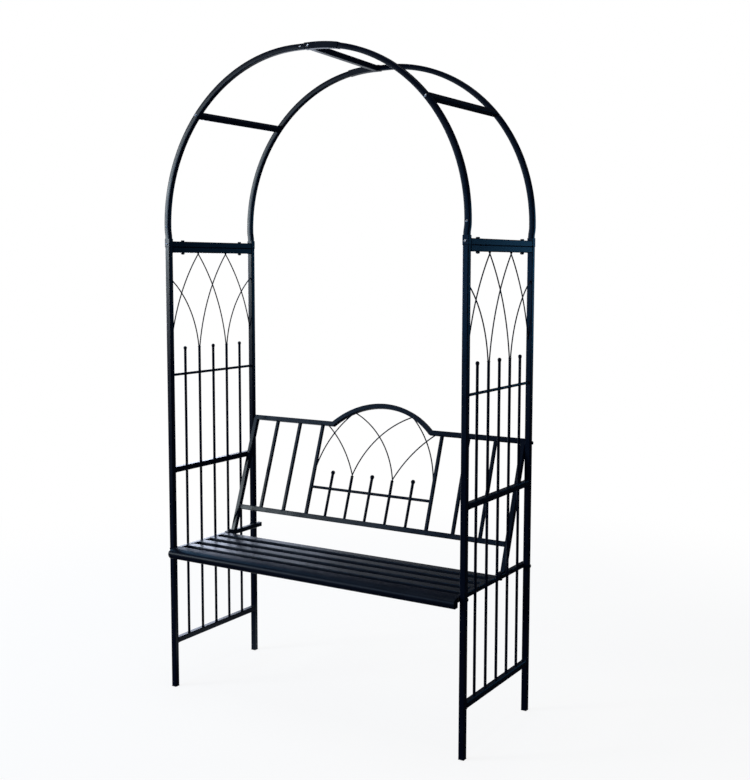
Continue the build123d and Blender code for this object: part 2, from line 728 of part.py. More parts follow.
# Backrest uprights: five rods, the middle and outer ones with balls
back_rods = [step * back_rod_pitch for step in range(-2, 3)]
with BuildPart() as back_uprights:
    for number, reach in enumerate(back_rods):
        rod_top = back_springer_rise if number % 2 else back_ball_rise - ball_seat_drop
        rod_foot = back_plane.from_local_coords((reach, inner_foot, 0))
        with BuildSketch(Plane(rod_foot, x_dir=(1, 0, 0), z_dir=back_plane.y_dir)):
            RegularPolygon(rod_diameter / 2, round_sides)
        extrude(amount=rod_top - inner_foot)
    ball_places = [back_plane.from_local_coords((reach, back_ball_rise, 0)) for reach in back_rods[::2]]
    rod_balls(ball_places, Plane((0, 0, 0), x_dir=(1, 0, 0), z_dir=back_plane.y_dir))
back_uprights.part.label = "backrest_uprights"
export_step(back_uprights.part, "parts/backrest_uprights.step")

# Backrest cross rod: short rods between the border slats and the uprights
panel_edge = border_slat_reach - back_slat_size / 2
with BuildPart() as back_cross_rod:
    cross_centre = back_plane.from_local_coords((0, back_cross_rise, 0))
    short_rods(Plane(cross_centre, z_dir=(1, 0, 0)), (-panel_edge, *back_rods, panel_edge))
back_cross_rod.part.label = "backrest_cross_rod"
export_step(back_cross_rod.part, "parts/backrest_cross_rod.step")

# Backrest tracery: crossing wires in two layers, cut to the border slats, the rod tops and the
# underside of the arched rail
underside = arch_radius - back_tube / 2
underside_rise = back_top_rise - back_tube / 2
back_tracery_rise = arch_centre + underside - back_springer_rise
back_wire_layer = back_wire_diameter / 2 + weld_gap
back_springs = (
    (-back_rod_pitch, 1, long_wire_shares),
    (back_rod_pitch, 1, short_wire_shares),
    (-border_slat_reach, 1, border_wire_shares),
    (back_rod_pitch, -1, long_wire_shares),
    (-back_rod_pitch, -1, short_wire_shares),
    (border_slat_reach, -1, border_wire_shares),
)
back_routes = [((reach, back_springer_rise), leaning, shares) for reach, leaning, shares in back_springs]


def fits_back_panel(point):
    """Return whether a point of the backrest's plane is clear inside its middle opening."""
    below_rail = point.Y < underside_rise - weld_gap
    below_arch = hypot(point.X, point.Y - arch_centre) < underside - weld_gap
    return (
        abs(point.X) < panel_edge - weld_gap
        and point.Y > back_springer_rise + weld_gap
        and (below_rail or below_arch)
    )


with BuildPart() as back_tracery:
    bent_wires(
        back_routes,
        back_plane,
        back_rod_pitch,
        back_tracery_rise,
        back_wire_layer,
        back_wire_diameter,
        fits_back_panel,
    )
back_tracery.part.label = "backrest_tracery"
export_step(back_tracery.part, "parts/backrest_tracery.step")

# Foot plates: each carries a stile at its rear and is bolted through the seat rail
plate_rear = stile_foot_depth + back_tube / 2 / cos(lean)
with BuildPart() as foot_plates:
    for side, across in sides:
        plate_middle = (across * stile_axis, plate_rear - foot_plate_length / 2, seat_height)
        with BuildSketch(Plane(plate_middle)):
            Rectangle(back_tube, foot_plate_length)
        extrude(amount=foot_plate_thickness)
    bolted = [(across * seat_rail_axis, foot_bolt_depth, seat_height) for side, across in sides]
    drill(bolted, (0, 0, 1), bolt_hole, foot_plate_thickness + cut_overrun)
foot_plates.part.label = "backrest_foot_plates"
export_step(foot_plates.part, "parts/backrest_foot_plates.step")

# Bolts: heads outside, threaded ends inside
leg_outer = half_across + leg_size / 2
tie_top = leg_top + leg_size
corners = [(across, deep) for side, across in sides for end, deep in ends]
seat_bolts = hex_bolts(
    [((a * leg_outer, d * half_deep, seat_rail_height), (a, 0, 0)) for a, d in corners],
    leg_size + seat_rail_size + nut_height + bolt_end,
)
back_bolts = hex_bolts(
    [((a * leg_outer, back_bolt_depth, back_bolt_height), (a, 0, 0)) for a in (-1, 1)],
    leg_size + back_tube + nut_height + bolt_end,
)
tie_bolts = hex_bolts(
    [((a * half_across, d * tie_bolt_depth, tie_top), (0, 0, 1)) for a, d in corners],
    2 * leg_size + nut_height + bolt_end,
)
foot_bolts = hex_bolts(
    [((a * seat_rail_axis, foot_bolt_depth, foot_plate_top), (0, 0, 1)) for a in (-1, 1)],
    foot_plate_thickness + seat_rail_size + nut_height + bolt_end,
)
bolt_sets = (
    ("seat_bolts", seat_bolts),
    ("backrest_bolts", back_bolts),
    ("tie_bolts", tie_bolts),
    ("foot_bolts", foot_bolts),
)
for name, bolts in bolt_sets:
    bolts.label = name
    export_step(bolts, f"parts/{name}.step")

# Nuts: one on the far side of each bolt
nut_seats = [((a * seat_rail_inner, d * half_deep, seat_rail_height), (-a, 0, 0)) for a, d in corners]
nut_seats += [((a * stile_inner, back_bolt_depth, back_bolt_height), (-a, 0, 0)) for a in (-1, 1)]
nut_seats += [
    ((a * half_across, d * tie_bolt_depth, leg_top - leg_size), (0, 0, -1)) for a, d in corners
]
nut_seats += [
    ((a * seat_rail_axis, foot_bolt_depth, seat_height - seat_rail_size), (0, 0, -1)) for a in (-1, 1)
]
with BuildPart() as hex_nuts:
    for spot, facing in nut_seats:
        with BuildSketch(Plane(spot, z_dir=facing)):
            RegularPolygon(nut_across / 2, 6, major_radius=False)
            RegularPolygon(bolt_hole / 2, round_sides, mode=Mode.SUBTRACT)
        extrude(amount=nut_height)
hex_nuts.part.label = "hex_nuts"
export_step(hex_nuts.part, "parts/hex_nuts.step")
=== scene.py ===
import logging
from abc import ABC, abstractmethod
from dataclasses import dataclass
from enum import Enum
from math import atan2, cos, degrees, hypot, pi, radians, sin, sqrt
from typing import Callable, Iterable, Sequence

import bmesh
import bpy
from mathutils import Matrix, Vector


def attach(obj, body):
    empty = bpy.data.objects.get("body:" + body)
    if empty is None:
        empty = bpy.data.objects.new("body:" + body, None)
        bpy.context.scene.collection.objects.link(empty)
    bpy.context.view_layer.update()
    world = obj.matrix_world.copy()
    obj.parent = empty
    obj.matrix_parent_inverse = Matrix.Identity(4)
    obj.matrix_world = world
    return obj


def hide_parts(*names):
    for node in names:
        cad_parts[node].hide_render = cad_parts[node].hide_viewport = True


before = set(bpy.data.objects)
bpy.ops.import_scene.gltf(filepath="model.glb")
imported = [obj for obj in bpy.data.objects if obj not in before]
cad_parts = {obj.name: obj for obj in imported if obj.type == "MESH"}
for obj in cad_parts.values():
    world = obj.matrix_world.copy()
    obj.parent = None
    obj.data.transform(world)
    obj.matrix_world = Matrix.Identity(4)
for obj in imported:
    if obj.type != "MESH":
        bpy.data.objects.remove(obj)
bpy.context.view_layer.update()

# Garden arbor bench: two side panels of square tube carry a pair of round-topped hoops, and a
# slatted seat and a tilted backrest hang between the panels. Sizes are written in millimetres and
# reach Blender in metres. X runs to the right, Y to the back and Z up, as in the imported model.

MM = 0.001
LOG = logging.getLogger("bench")

Point = tuple[float, float, float]
Flat = tuple[float, float]
Colour = tuple[float, float, float]
Loop = list[Point]
Wire = tuple[Flat, Flat, Flat]
Feeds = dict[str | int, object]

X_AXIS, Y_AXIS, Z_AXIS = Vector((1, 0, 0)), Vector((0, 1, 0)), Vector((0, 0, 1))
WHITE = (1.0, 1.0, 1.0, 1.0)

# How finely the shapes are drawn, and the angles in degrees past which an edge stays sharp.
ROD_SIDES = 20
TURNED_SIDES = 24
BEAD_SIDES = 7
RING_SIDES = 12
CORNER_STEPS = 4
WIRE_STEPS = 36
SHEET_STEP = 2.5
BALL_END, BALL_STEP = 86, 10
STOCK_CREASE = 40.0
COPY_CREASE = 28.0
WELD_CREASE = 75.0
NODE_CREASE = 30.0
SHEET_CREASE = 35.0

# Triangles of a CAD node within this many degrees of each other become one flat face, and a wire
# is cut to its opening within this share of its arc.
FLAT_WITHIN = 0.6
CUT_WITHIN = 1e-5


class Sign(Enum):
    """Two opposite places on the bench, as signs along an axis."""

    @property
    def word(self) -> str:
        """Return the place's name as the CAD nodes spell it."""
        return self.name.lower()


class Side(Sign):
    """The bench's two sides, along X."""

    LEFT = -1
    RIGHT = 1


class End(Sign):
    """The bench's front and rear, along Y."""

    FRONT = -1
    REAR = 1


class Facing(Enum):
    """Which way a bolt, nut or screw faces, as the Euler turn from facing up."""

    UP = (0.0, 0.0, 0.0)
    DOWN = (pi, 0.0, 0.0)
    LEFT = (0.0, -pi / 2, 0.0)
    RIGHT = (0.0, pi / 2, 0.0)
    FRONT = (pi / 2, 0.0, 0.0)
    REAR = (-pi / 2, 0.0, 0.0)

    def mirrored(self, side: Side, end: End) -> "Facing":
        """Return what a facing on the right at the rear becomes elsewhere.

        Args:
            side: The side that it is mirrored to.
            end: The end that it is mirrored to.

        Returns:
            The facing there.
        """
        swaps: dict[Facing, Facing] = {}
        if side is Side.LEFT:
            swaps |= {Facing.LEFT: Facing.RIGHT, Facing.RIGHT: Facing.LEFT}
        if end is End.FRONT:
            swaps |= {Facing.FRONT: Facing.REAR, Facing.REAR: Facing.FRONT}
        return swaps.get(self, self)


Place = tuple[Point, Facing]


class Socket(Enum):
    """The kinds of socket that the node groups have."""

    FLOAT = "NodeSocketFloat"
    INT = "NodeSocketInt"
    VECTOR = "NodeSocketVector"
    COLOUR = "NodeSocketColor"
    GEOMETRY = "NodeSocketGeometry"
    MATERIAL = "NodeSocketMaterial"
    OBJECT = "NodeSocketObject"


class Graph:
    """Adds and links nodes in one node tree."""

    def __init__(self, tree: bpy.types.NodeTree) -> None:
        """Keep the tree that this graph adds to."""
        self.tree = tree

    def add(self, kind: str, feeds: Feeds | None = None, **settings: object) -> bpy.types.Node:
        """Add one node.

        Args:
            kind: The node's Blender type name.
            feeds: For each input, by name or number, a value or the socket that feeds it.
            **settings: Properties of the node itself, set before its inputs.

        Returns:
            The new node.
        """
        node = self.tree.nodes.new(kind)
        for key, value in settings.items():
            setattr(node, key, value)
        for key, value in (feeds or {}).items():
            if isinstance(value, bpy.types.NodeSocket):
                self.tree.links.new(value, node.inputs[key])
            else:
                node.inputs[key].default_value = value
        return node

    def get(
        self, kind: str, feeds: Feeds | None = None, output: str | int = 0, **settings: object
    ) -> bpy.types.NodeSocket:
        """Add one node as add does, and return one of its outputs."""
        return self.add(kind, feeds, **settings).outputs[output]

    def math(self, operation: str, first: object, second: object) -> bpy.types.NodeSocket:
        """Add a Math node of the named operation, and return its result."""
        return self.get("ShaderNodeMath", {0: first, 1: second}, operation=operation)

    def blend(self, share: object, first: object, second: object) -> bpy.types.NodeSocket:
        """Add a node that blends two colours, and return its result."""
        return self.get("ShaderNodeMix", {0: share, 6: first, 7: second}, 2, data_type="RGBA")

    def ramp(
        self, value: object, low: float = 0.0, high: float = 1.0, start: object = 0.0,
        end: float = 1.0, shape: str = "LINEAR",
    ) -> bpy.types.NodeSocket:
        """Map a value between two limits to a new range, and hold it beyond them.

        Args:
            value: The value.
            low: Its lower limit.
            high: Its upper limit.
            start: What it becomes at the lower limit.
            end: What it becomes at the upper limit.
            shape: How it runs between them, in Blender's words.

        Returns:
            The result.
        """
        feeds = {"Value": value, "From Min": low, "From Max": high, "To Min": start, "To Max": end}
        return self.get("ShaderNodeMapRange", feeds, interpolation_type=shape)

    def noise(self, scale: object, detail: float, roughness: float = 0.5) -> bpy.types.NodeSocket:
        """Add a noise pattern on Object coordinates.

        Args:
            scale: Its scale.
            detail: How many finer layers it has.
            roughness: How strong they are.

        Returns:
            Its value.
        """
        place = self.get("ShaderNodeTexCoord", output="Object")
        feeds = {"Vector": place, "Scale": scale, "Detail": detail, "Roughness": roughness}
        return self.get("ShaderNodeTexNoise", feeds)


class Group(Graph):
    """A node group with named inputs and outputs."""

    def __init__(
        self, name: str, kind: str, inputs: Sequence[tuple[str, Socket, object]],
        outputs: Sequence[tuple[str, Socket]],
    ) -> None:
        """Start the group.

        Args:
            name: The group's name.
            kind: Its tree type.
            inputs: Name, kind and first value of each input; None leaves the value alone.
            outputs: Name and kind of each output.
        """
        super().__init__(bpy.data.node_groups.new(name, kind))
        sockets = self.tree.interface
        for label, socket, value in inputs:
            made = sockets.new_socket(label, in_out="INPUT", socket_type=socket.value)
            if value is not None:
                made.default_value = value
        for label, socket in outputs:
            sockets.new_socket(label, in_out="OUTPUT", socket_type=socket.value)
        self.given = self.add("NodeGroupInput").outputs
        self.results = self.add("NodeGroupOutput").inputs

    def put(self, results: dict[str, bpy.types.NodeSocket]) -> bpy.types.NodeTree:
        """Link the group's outputs.

        Args:
            results: The socket that feeds each output, by the output's name.

        Returns:
            The finished tree.
        """
        for label, socket in results.items():
            self.tree.links.new(socket, self.results[label])
        return self.tree

    def shaded(
        self, shape: bpy.types.NodeSocket, smooth: bool, domain: str, where: object = True
    ) -> bpy.types.NodeSocket:
        """Shade a shape's chosen faces or edges smooth or sharp, and return the shape."""
        feeds = {"Geometry": shape, "Selection": where, "Shade Smooth": smooth}
        return self.get("GeometryNodeSetShadeSmooth", feeds, domain=domain)


class ShapeGroup(Group):
    """A Geometry Nodes tree that takes a seed mesh, named sizes and a material."""

    def __init__(self, name: str, sizes: Sequence[tuple[str, Socket, object]]) -> None:
        """Start the tree, with the name, kind and first value of each size."""
        inputs = [("Geometry", Socket.GEOMETRY, None), *sizes, ("Material", Socket.MATERIAL, None)]
        super().__init__(name, "GeometryNodeTree", inputs, [("Geometry", Socket.GEOMETRY)])

    def route(self) -> bpy.types.NodeSocket:
        """Return the seed mesh's edges as curves."""
        return self.get("GeometryNodeMeshToCurve", {"Mesh": self.given["Geometry"]})

    def ring(self, radius: object, sides: object) -> bpy.types.NodeSocket:
        """Return a round section of a radius and a number of sides."""
        feeds = {"Radius": radius, "Resolution": sides}
        return self.get("GeometryNodeCurvePrimitiveCircle", feeds)

    def drawn(
        self, curve: bpy.types.NodeSocket, section: bpy.types.NodeSocket, caps: bool = True
    ) -> bpy.types.NodeSocket:
        """Return a section drawn along a curve, with or without faces at its ends."""
        feeds = {"Curve": curve, "Profile Curve": section, "Fill Caps": caps}
        return self.get("GeometryNodeCurveToMesh", feeds)

    def close(self, shape: bpy.types.NodeSocket, crease: float) -> bpy.types.NodeTree:
        """Close the tree: smooth faces, sharp creases, real instances and a material.

        Args:
            shape: The finished shape.
            crease: The angle in degrees past which an edge stays sharp.

        Returns:
            The tree.
        """
        real = self.get("GeometryNodeRealizeInstances", {"Geometry": shape})
        angle = self.get("GeometryNodeInputMeshEdgeAngle", output="Unsigned Angle")
        sharp = self.get(
            "FunctionNodeCompare", {0: angle, 1: radians(crease)}, "Result",
            data_type="FLOAT", operation="GREATER_THAN",
        )
        creased = self.shaded(self.shaded(real, True, "FACE"), False, "EDGE", sharp)
        feeds = {"Geometry": creased, "Material": self.given["Material"]}
        return self.put({"Geometry": self.get("GeometryNodeSetMaterial", feeds)})


def round_stock_tree() -> bpy.types.NodeTree:
    """Return the tree that turns a mesh's edges into round rod or wire."""
    sizes = [("Radius", Socket.FLOAT, 0.004), ("Sides", Socket.INT, ROD_SIDES)]
    tree = ShapeGroup("round_stock", sizes)
    ring = tree.ring(tree.given["Radius"], tree.given["Sides"])
    return tree.close(tree.drawn(tree.route(), ring), STOCK_CREASE)


def square_stock_tree() -> bpy.types.NodeTree:
    """Return the tree that turns a flat path into square tube with rounded corners."""
    tree = ShapeGroup(
        "square_stock",
        [
            ("Size", Socket.FLOAT, 0.0165),
            ("Corner", Socket.FLOAT, 0.002),
            ("Path Normal", Socket.VECTOR, (0, 1, 0)),
        ],
    )
    given = tree.given
    level = tree.get(
        "GeometryNodeSetCurveNormal", {"Curve": tree.route(), "Normal": given["Path Normal"]},
        mode="FREE",
    )
    feeds = {"Width": given["Size"], "Height": given["Size"]}
    square = tree.get("GeometryNodeCurvePrimitiveQuadrilateral", feeds)
    feeds = {"Curve": square, "Count": CORNER_STEPS, "Radius": given["Corner"]}
    eased = tree.get("GeometryNodeFilletCurve", feeds, mode="POLY")
    return tree.close(tree.drawn(level, eased), STOCK_CREASE)


def placed_copies_tree() -> bpy.types.NodeTree:
    """Return the tree that sets a copy of one shape on each point, turned as the point says."""
    tree = ShapeGroup("placed_copies", [("Shape", Socket.OBJECT, None)])
    shape = tree.get("GeometryNodeObjectInfo", {"Object": tree.given["Shape"]}, "Geometry")
    turn = tree.get(
        "GeometryNodeInputNamedAttribute", {"Name": "turn"}, "Attribute", data_type="FLOAT_VECTOR"
    )
    rotation = tree.get("FunctionNodeEulerToRotation", {"Euler": turn})
    feeds = {"Points": tree.given["Geometry"], "Instance": shape, "Rotation": rotation}
    return tree.close(tree.get("GeometryNodeInstanceOnPoints", feeds), COPY_CREASE)


def weld_bead_tree() -> bpy.types.NodeTree:
    """Return the tree that lays a rippled weld bead along closed paths."""
    sizes = {"Bead Radius": 0.0012, "Ripple": 0.0004, "Step": 0.0015, "Noise Scale": 420.0,
             "Seed": 3.0}
    tree = ShapeGroup(
        "weld_bead", [(label, Socket.FLOAT, value) for label, value in sizes.items()]
    )
    given = tree.given
    steps = tree.get(
        "GeometryNodeResampleCurve", {"Curve": tree.route(), "Length": given["Step"]},
        mode="LENGTH",
    )
    bead = tree.drawn(steps, tree.ring(given["Bead Radius"], BEAD_SIDES), caps=False)
    noise = tree.get(
        "ShaderNodeTexNoise", {"Scale": given["Noise Scale"], "Detail": 1.0, "W": given["Seed"]},
        noise_dimensions="4D",
    )
    push = tree.math("MULTIPLY", tree.math("SUBTRACT", noise, 0.5), given["Ripple"])
    feeds = {0: tree.get("GeometryNodeInputNormal"), "Scale": push}
    offset = tree.get("ShaderNodeVectorMath", feeds, operation="SCALE")
    rippled = tree.get("GeometryNodeSetPosition", {"Geometry": bead, "Offset": offset})
    return tree.close(rippled, WELD_CREASE)


def soft_shade_tree() -> bpy.types.NodeTree:
    """Return the tree that joins a CAD node's loose triangles and shades them smooth."""
    inputs = [("Geometry", Socket.GEOMETRY, None), ("Join Within", Socket.FLOAT, 0.00001)]
    tree = Group("soft_shade", "GeometryNodeTree", inputs, [("Geometry", Socket.GEOMETRY)])
    feeds = {"Geometry": tree.given["Geometry"], "Distance": tree.given["Join Within"]}
    joined = tree.get("GeometryNodeMergeByDistance", feeds)
    return tree.put({"Geometry": tree.shaded(joined, True, "FACE")})


class Shop:
    """The trees that shape the pieces, and the steps that turn them into plain meshes."""

    def __init__(self) -> None:
        """Build every tree once."""
        self.round_stock = round_stock_tree()
        self.square_stock = square_stock_tree()
        self.placed_copies = placed_copies_tree()
        self.weld_bead = weld_bead_tree()
        self.soft_shade = soft_shade_tree()

    @staticmethod
    def run(
        name: str, seed: bpy.types.Mesh, tree: bpy.types.NodeTree, values: dict[str, object]
    ) -> bpy.types.Object:
        """Run a tree on a seed mesh and keep the result as a plain mesh.

        Args:
            name: The new piece's name.
            seed: The mesh that the tree starts from.
            tree: The Geometry Nodes tree.
            values: The tree's inputs by name.

        Returns:
            The piece, at the origin, with its place in its mesh.
        """
        carrier = bpy.data.objects.new(f"{name}_seed", seed)
        bpy.context.scene.collection.objects.link(carrier)
        modifier = carrier.modifiers.new("shape", "NODES")
        modifier.node_group = tree
        for item in tree.interface.items_tree:
            if item.item_type == "SOCKET" and item.in_out == "INPUT" and item.name in values:
                modifier[item.identifier] = values[item.name]
        depsgraph = bpy.context.evaluated_depsgraph_get()
        mesh = bpy.data.meshes.new_from_object(
            carrier.evaluated_get(depsgraph), preserve_all_data_layers=True, depsgraph=depsgraph
        )
        carrier.modifiers.remove(modifier)
        bpy.data.objects.remove(carrier)
        bpy.data.meshes.remove(seed)
        return linked_object(name, mesh)

    def rods(
        self, name: str, runs: Iterable[Sequence[Point]], radius: float, paint: bpy.types.Material
    ) -> bpy.types.Object:
        """Return one piece of round rods or wires.

        Args:
            name: The piece's name.
            runs: Each rod's points, in millimetres.
            radius: The rod's radius, in millimetres.
            paint: The material.

        Returns:
            The piece.
        """
        values = {"Radius": radius * MM, "Sides": ROD_SIDES, "Material": paint}
        return self.run(name, path_mesh(name, runs), self.round_stock, values)

    def tube(
        self, name: str, run: Sequence[Point], size: float, corner: float, normal: Vector,
        paint: bpy.types.Material,
    ) -> bpy.types.Object:
        """Return one square tube that follows a flat path.

        Args:
            name: The piece's name.
            run: The path's points, in millimetres.
            size: The tube's outside size.
            corner: The radius of its corners.
            normal: The direction square to the path's plane.
            paint: The material.

        Returns:
            The piece.
        """
        sizes = {"Size": size * MM, "Corner": corner * MM, "Path Normal": tuple(normal)}
        values = {**sizes, "Material": paint}
        return self.run(name, path_mesh(name, [run]), self.square_stock, values)

    def copies(
        self, name: str, shape: bpy.types.Mesh, places: Sequence[Place], finish: bpy.types.Material
    ) -> bpy.types.Object:
        """Return one piece made of copies of a shape.

        Args:
            name: The piece's name.
            shape: The mesh to copy, in metres, facing up.
            places: Where each copy sits, in millimetres, and which way it faces.
            finish: The material.

        Returns:
            The piece.
        """
        model = linked_object(f"{name}_model", shape)
        seed = bpy.data.meshes.new(f"{name}_places")
        seed.from_pydata([[value * MM for value in spot] for spot, facing in places], [], [])
        turns = seed.attributes.new("turn", "FLOAT_VECTOR", "POINT")
        for row, (spot, facing) in zip(turns.data, places):
            row.vector = facing.value
        values = {"Shape": model, "Material": finish}
        piece = self.run(name, seed, self.placed_copies, values)
        bpy.data.objects.remove(model)
        return piece

    def welds(
        self, name: str, rings: Iterable[Loop], radius: float, paint: bpy.types.Material,
        ripple: float = 0.7,
    ) -> bpy.types.Object:
        """Return one piece of weld beads laid round closed rings.

        Args:
            name: The piece's name.
            rings: Each ring's points, in millimetres.
            radius: The bead's radius.
            paint: The material.
            ripple: How deep the ripples are, as a share of the radius.

        Returns:
            The piece.
        """
        sizes = {"Bead Radius": radius * MM, "Ripple": radius * MM * ripple}
        values = {**sizes, "Material": paint}
        return self.run(name, path_mesh(name, rings, closed=True), self.weld_bead, values)

    def ease(self, paint: bpy.types.Material, *nodes: str, edge: float = 0.7) -> None:
        """Give CAD nodes a material, rounded edges and smooth shading, their meshes unchanged.

        Args:
            paint: The material.
            *nodes: The nodes' names.
            edge: How wide their edges are rounded, in millimetres.
        """
        for node in nodes:
            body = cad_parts[node]
            if not body.material_slots:
                body.data.materials.append(paint)
            for slot in body.material_slots:
                slot.material = paint
            body.modifiers.new("joined", "NODES").node_group = self.soft_shade
            flatten = body.modifiers.new("flat faces", "DECIMATE")
            flatten.decimate_type = "DISSOLVE"
            flatten.angle_limit = radians(FLAT_WITHIN)
            round_edges(body, NODE_CREASE, edge)
            LOG.info("CAD node %s eased by %.1f mm", node, edge)


def round_edges(piece: bpy.types.Object, crease: float, edge: float) -> None:
    """Round a piece's sharp edges with modifiers.

    Args:
        piece: The piece.
        crease: The angle in degrees past which an edge is rounded.
        edge: How wide it is rounded, in millimetres.
    """
    rounding = piece.modifiers.new("eased edges", "BEVEL")
    rounding.limit_method = "ANGLE"
    rounding.angle_limit = radians(crease)
    rounding.width = edge * MM
    rounding.segments = 2
    piece.modifiers.new("face weights", "WEIGHTED_NORMAL").keep_sharp = True


def linked_object(name: str, mesh: bpy.types.Mesh) -> bpy.types.Object:
    """Put a mesh in the scene.

    Args:
        name: The name that the mesh and its object get.
        mesh: The mesh.

    Returns:
        The object.
    """
    piece = bpy.data.objects.new(name, mesh)
    mesh.name = name
    bpy.context.scene.collection.objects.link(piece)
    return piece


def settle(piece: bpy.types.Object, slot: str, *nodes: str) -> None:
    """Attach a finished piece to the frame, and hide the CAD nodes that it stands for.

    Args:
        piece: The piece.
        slot: Not used.
        *nodes: The CAD nodes that it replaces.
    """
    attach(piece, "root")
    if nodes:
        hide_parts(*nodes)
    LOG.info("%s: %d faces, stands for %s", piece.name, len(piece.data.polygons), nodes or "-")


def path_mesh(name: str, runs: Iterable[Sequence[Point]], closed: bool = False) -> bpy.types.Mesh:
    """Return a mesh of edges along each run of points.

    Args:
        name: The piece's name.
        runs: The runs, in millimetres.
        closed: Whether each run's last point is joined to its first.

    Returns:
        The mesh, in metres.
    """
    points: list[Vector] = []
    edges: list[tuple[int, int]] = []
    for run in runs:
        first = len(points)
        points += [Vector(spot) * MM for spot in run]
        edges += [(step, step + 1) for step in range(first, len(points) - 1)]
        if closed:
            edges.append((len(points) - 1, first))
    mesh = bpy.data.meshes.new(f"{name}_path")
    mesh.from_pydata(points, edges, [])
    return mesh


def arc(centre: Flat, radius: float, start: float, finish: float, step: float = 2.0) -> list[Flat]:
    """Return points along an arc in a plane.

    Args:
        centre: Its centre.
        radius: Its radius.
        start: Its first angle, in degrees.
        finish: Its last angle, in degrees.
        step: The most degrees between two points.

    Returns:
        The points, ends included.
    """
    count = max(2, int(abs(finish - start) / step) + 1)
    turns = [radians(start + (finish - start) * part / count) for part in range(count + 1)]
    return [(centre[0] + radius * cos(turn), centre[1] + radius * sin(turn)) for turn in turns]


def bent_sheet(start: Flat, tilt: float, bends: Sequence[Flat]) -> list[Flat]:
    """Return points along a chain of arcs that run on smoothly, each from where the last ends.

    Args:
        start: The first point.
        tilt: The angle of the surface's normal there, in degrees.
        bends: Each arc's radius and the normal's angle at its end.

    Returns:
        The points, ends included.
    """
    points = [start]
    for radius, finish in bends:
        turn = radians(tilt)
        centre = (points[-1][0] - radius * cos(turn), points[-1][1] - radius * sin(turn))
        points += arc(centre, radius, tilt, finish, SHEET_STEP)[1:]
        tilt = finish
    return points


def circle_through(first: Flat, middle: Flat, last: Flat) -> tuple[Flat, float, float, float]:
    """Return the circle through three points.

    Args:
        first: The point where the arc starts.
        middle: A point on the way.
        last: The point where it ends.

    Returns:
        The centre, the radius, and the first and last angles in radians, which run the short way
        past the middle point.
    """
    (ax, ay), (bx, by), (cx, cy) = first, middle, last
    scale = 2 * (ax * (by - cy) + bx * (cy - ay) + cx * (ay - by))
    a, b, c = (x * x + y * y for x, y in (first, middle, last))
    x = (a * (by - cy) + b * (cy - ay) + c * (ay - by)) / scale
    y = (a * (cx - bx) + b * (ax - cx) + c * (bx - ax)) / scale
    begin, end = atan2(ay - y, ax - x), atan2(cy - y, cx - x)
    if end - begin > pi:
        end -= 2 * pi
    if end - begin < -pi:
        end += 2 * pi
    return (x, y), hypot(ax - x, ay - y), begin, end


def bent_wire(points: Sequence[Flat], fits: Callable[[Flat], bool]) -> list[Flat]:
    """Return a wire's points along the arc through three points, cut to its opening.

    Args:
        points: The arc's start, a point on the way and its end.
        fits: Says whether a point lies inside the opening.

    Returns:
        The wire's points.
    """
    centre, radius, begin, end = circle_through(*points)

    def at(share: float) -> Flat:
        """Return the point at a share of the arc."""
        turn = begin + (end - begin) * share
        return (centre[0] + radius * cos(turn), centre[1] + radius * sin(turn))

    def edge(outer: float) -> float:
        """Return the share nearest an end at which the wire is inside its opening."""
        inner = 0.5
        while abs(outer - inner) > CUT_WITHIN:
            middle = (outer + inner) / 2
            inner, outer = (middle, outer) if fits(at(middle)) else (inner, middle)
        return inner

    foot, tip = edge(0.0), edge(1.0)
    return [at(foot + (tip - foot) * step / WIRE_STEPS) for step in range(WIRE_STEPS + 1)]


def loft(shape: bmesh.types.BMesh, loops: Sequence[Sequence[Point]]) -> None:
    """Add a closed shell through a stack of loops that have as many points each.

    Args:
        shape: The shape to add it to.
        loops: The loops, in millimetres. The first and the last are closed with a face.
    """
    rows = [[shape.verts.new([value * MM for value in spot]) for spot in loop] for loop in loops]
    for low, high in zip(rows, rows[1:]):
        for spot in range(len(low)):
            shape.faces.new((low[spot - 1], low[spot], high[spot], high[spot - 1]))
    shape.faces.new(rows[0][::-1])
    shape.faces.new(rows[-1])


def finished_mesh(name: str, shape: bmesh.types.BMesh) -> bpy.types.Mesh:
    """Turn a shape's faces outward and keep it as a mesh.

    Args:
        name: The mesh's name.
        shape: The shape, which is freed.

    Returns:
        The mesh.
    """
    bmesh.ops.recalc_face_normals(shape, faces=shape.faces)
    mesh = bpy.data.meshes.new(name)
    shape.to_mesh(mesh)
    shape.free()
    return mesh


@dataclass(frozen=True)
class Ring:
    """One ring of a turned shape: its height, its size and whether it is a hexagon."""

    height: float
    radius: float
    hexagon: bool = False

    def reach(self, turn: float) -> float:
        """Return the ring's radius at an angle; a hexagon's is measured to its flats."""
        sector = (turn + pi / 6) % (pi / 3) - pi / 6 if self.hexagon else 0.0
        return self.radius / cos(sector)

    def points(self) -> Loop:
        """Return the ring's points."""
        turns = [2 * pi * side / TURNED_SIDES for side in range(TURNED_SIDES)]
        return [(self.reach(t) * cos(t), self.reach(t) * sin(t), self.height) for t in turns]


def turned_shape(name: str, rings: Sequence[Ring]) -> bpy.types.Mesh:
    """Return a closed mesh through a stack of rings, from the lowest outside to the last.

    Args:
        name: The mesh's name.
        rings: The rings in order.

    Returns:
        The mesh, in metres.
    """
    shape = bmesh.new()
    loft(shape, [ring.points() for ring in rings])
    return finished_mesh(name, shape)


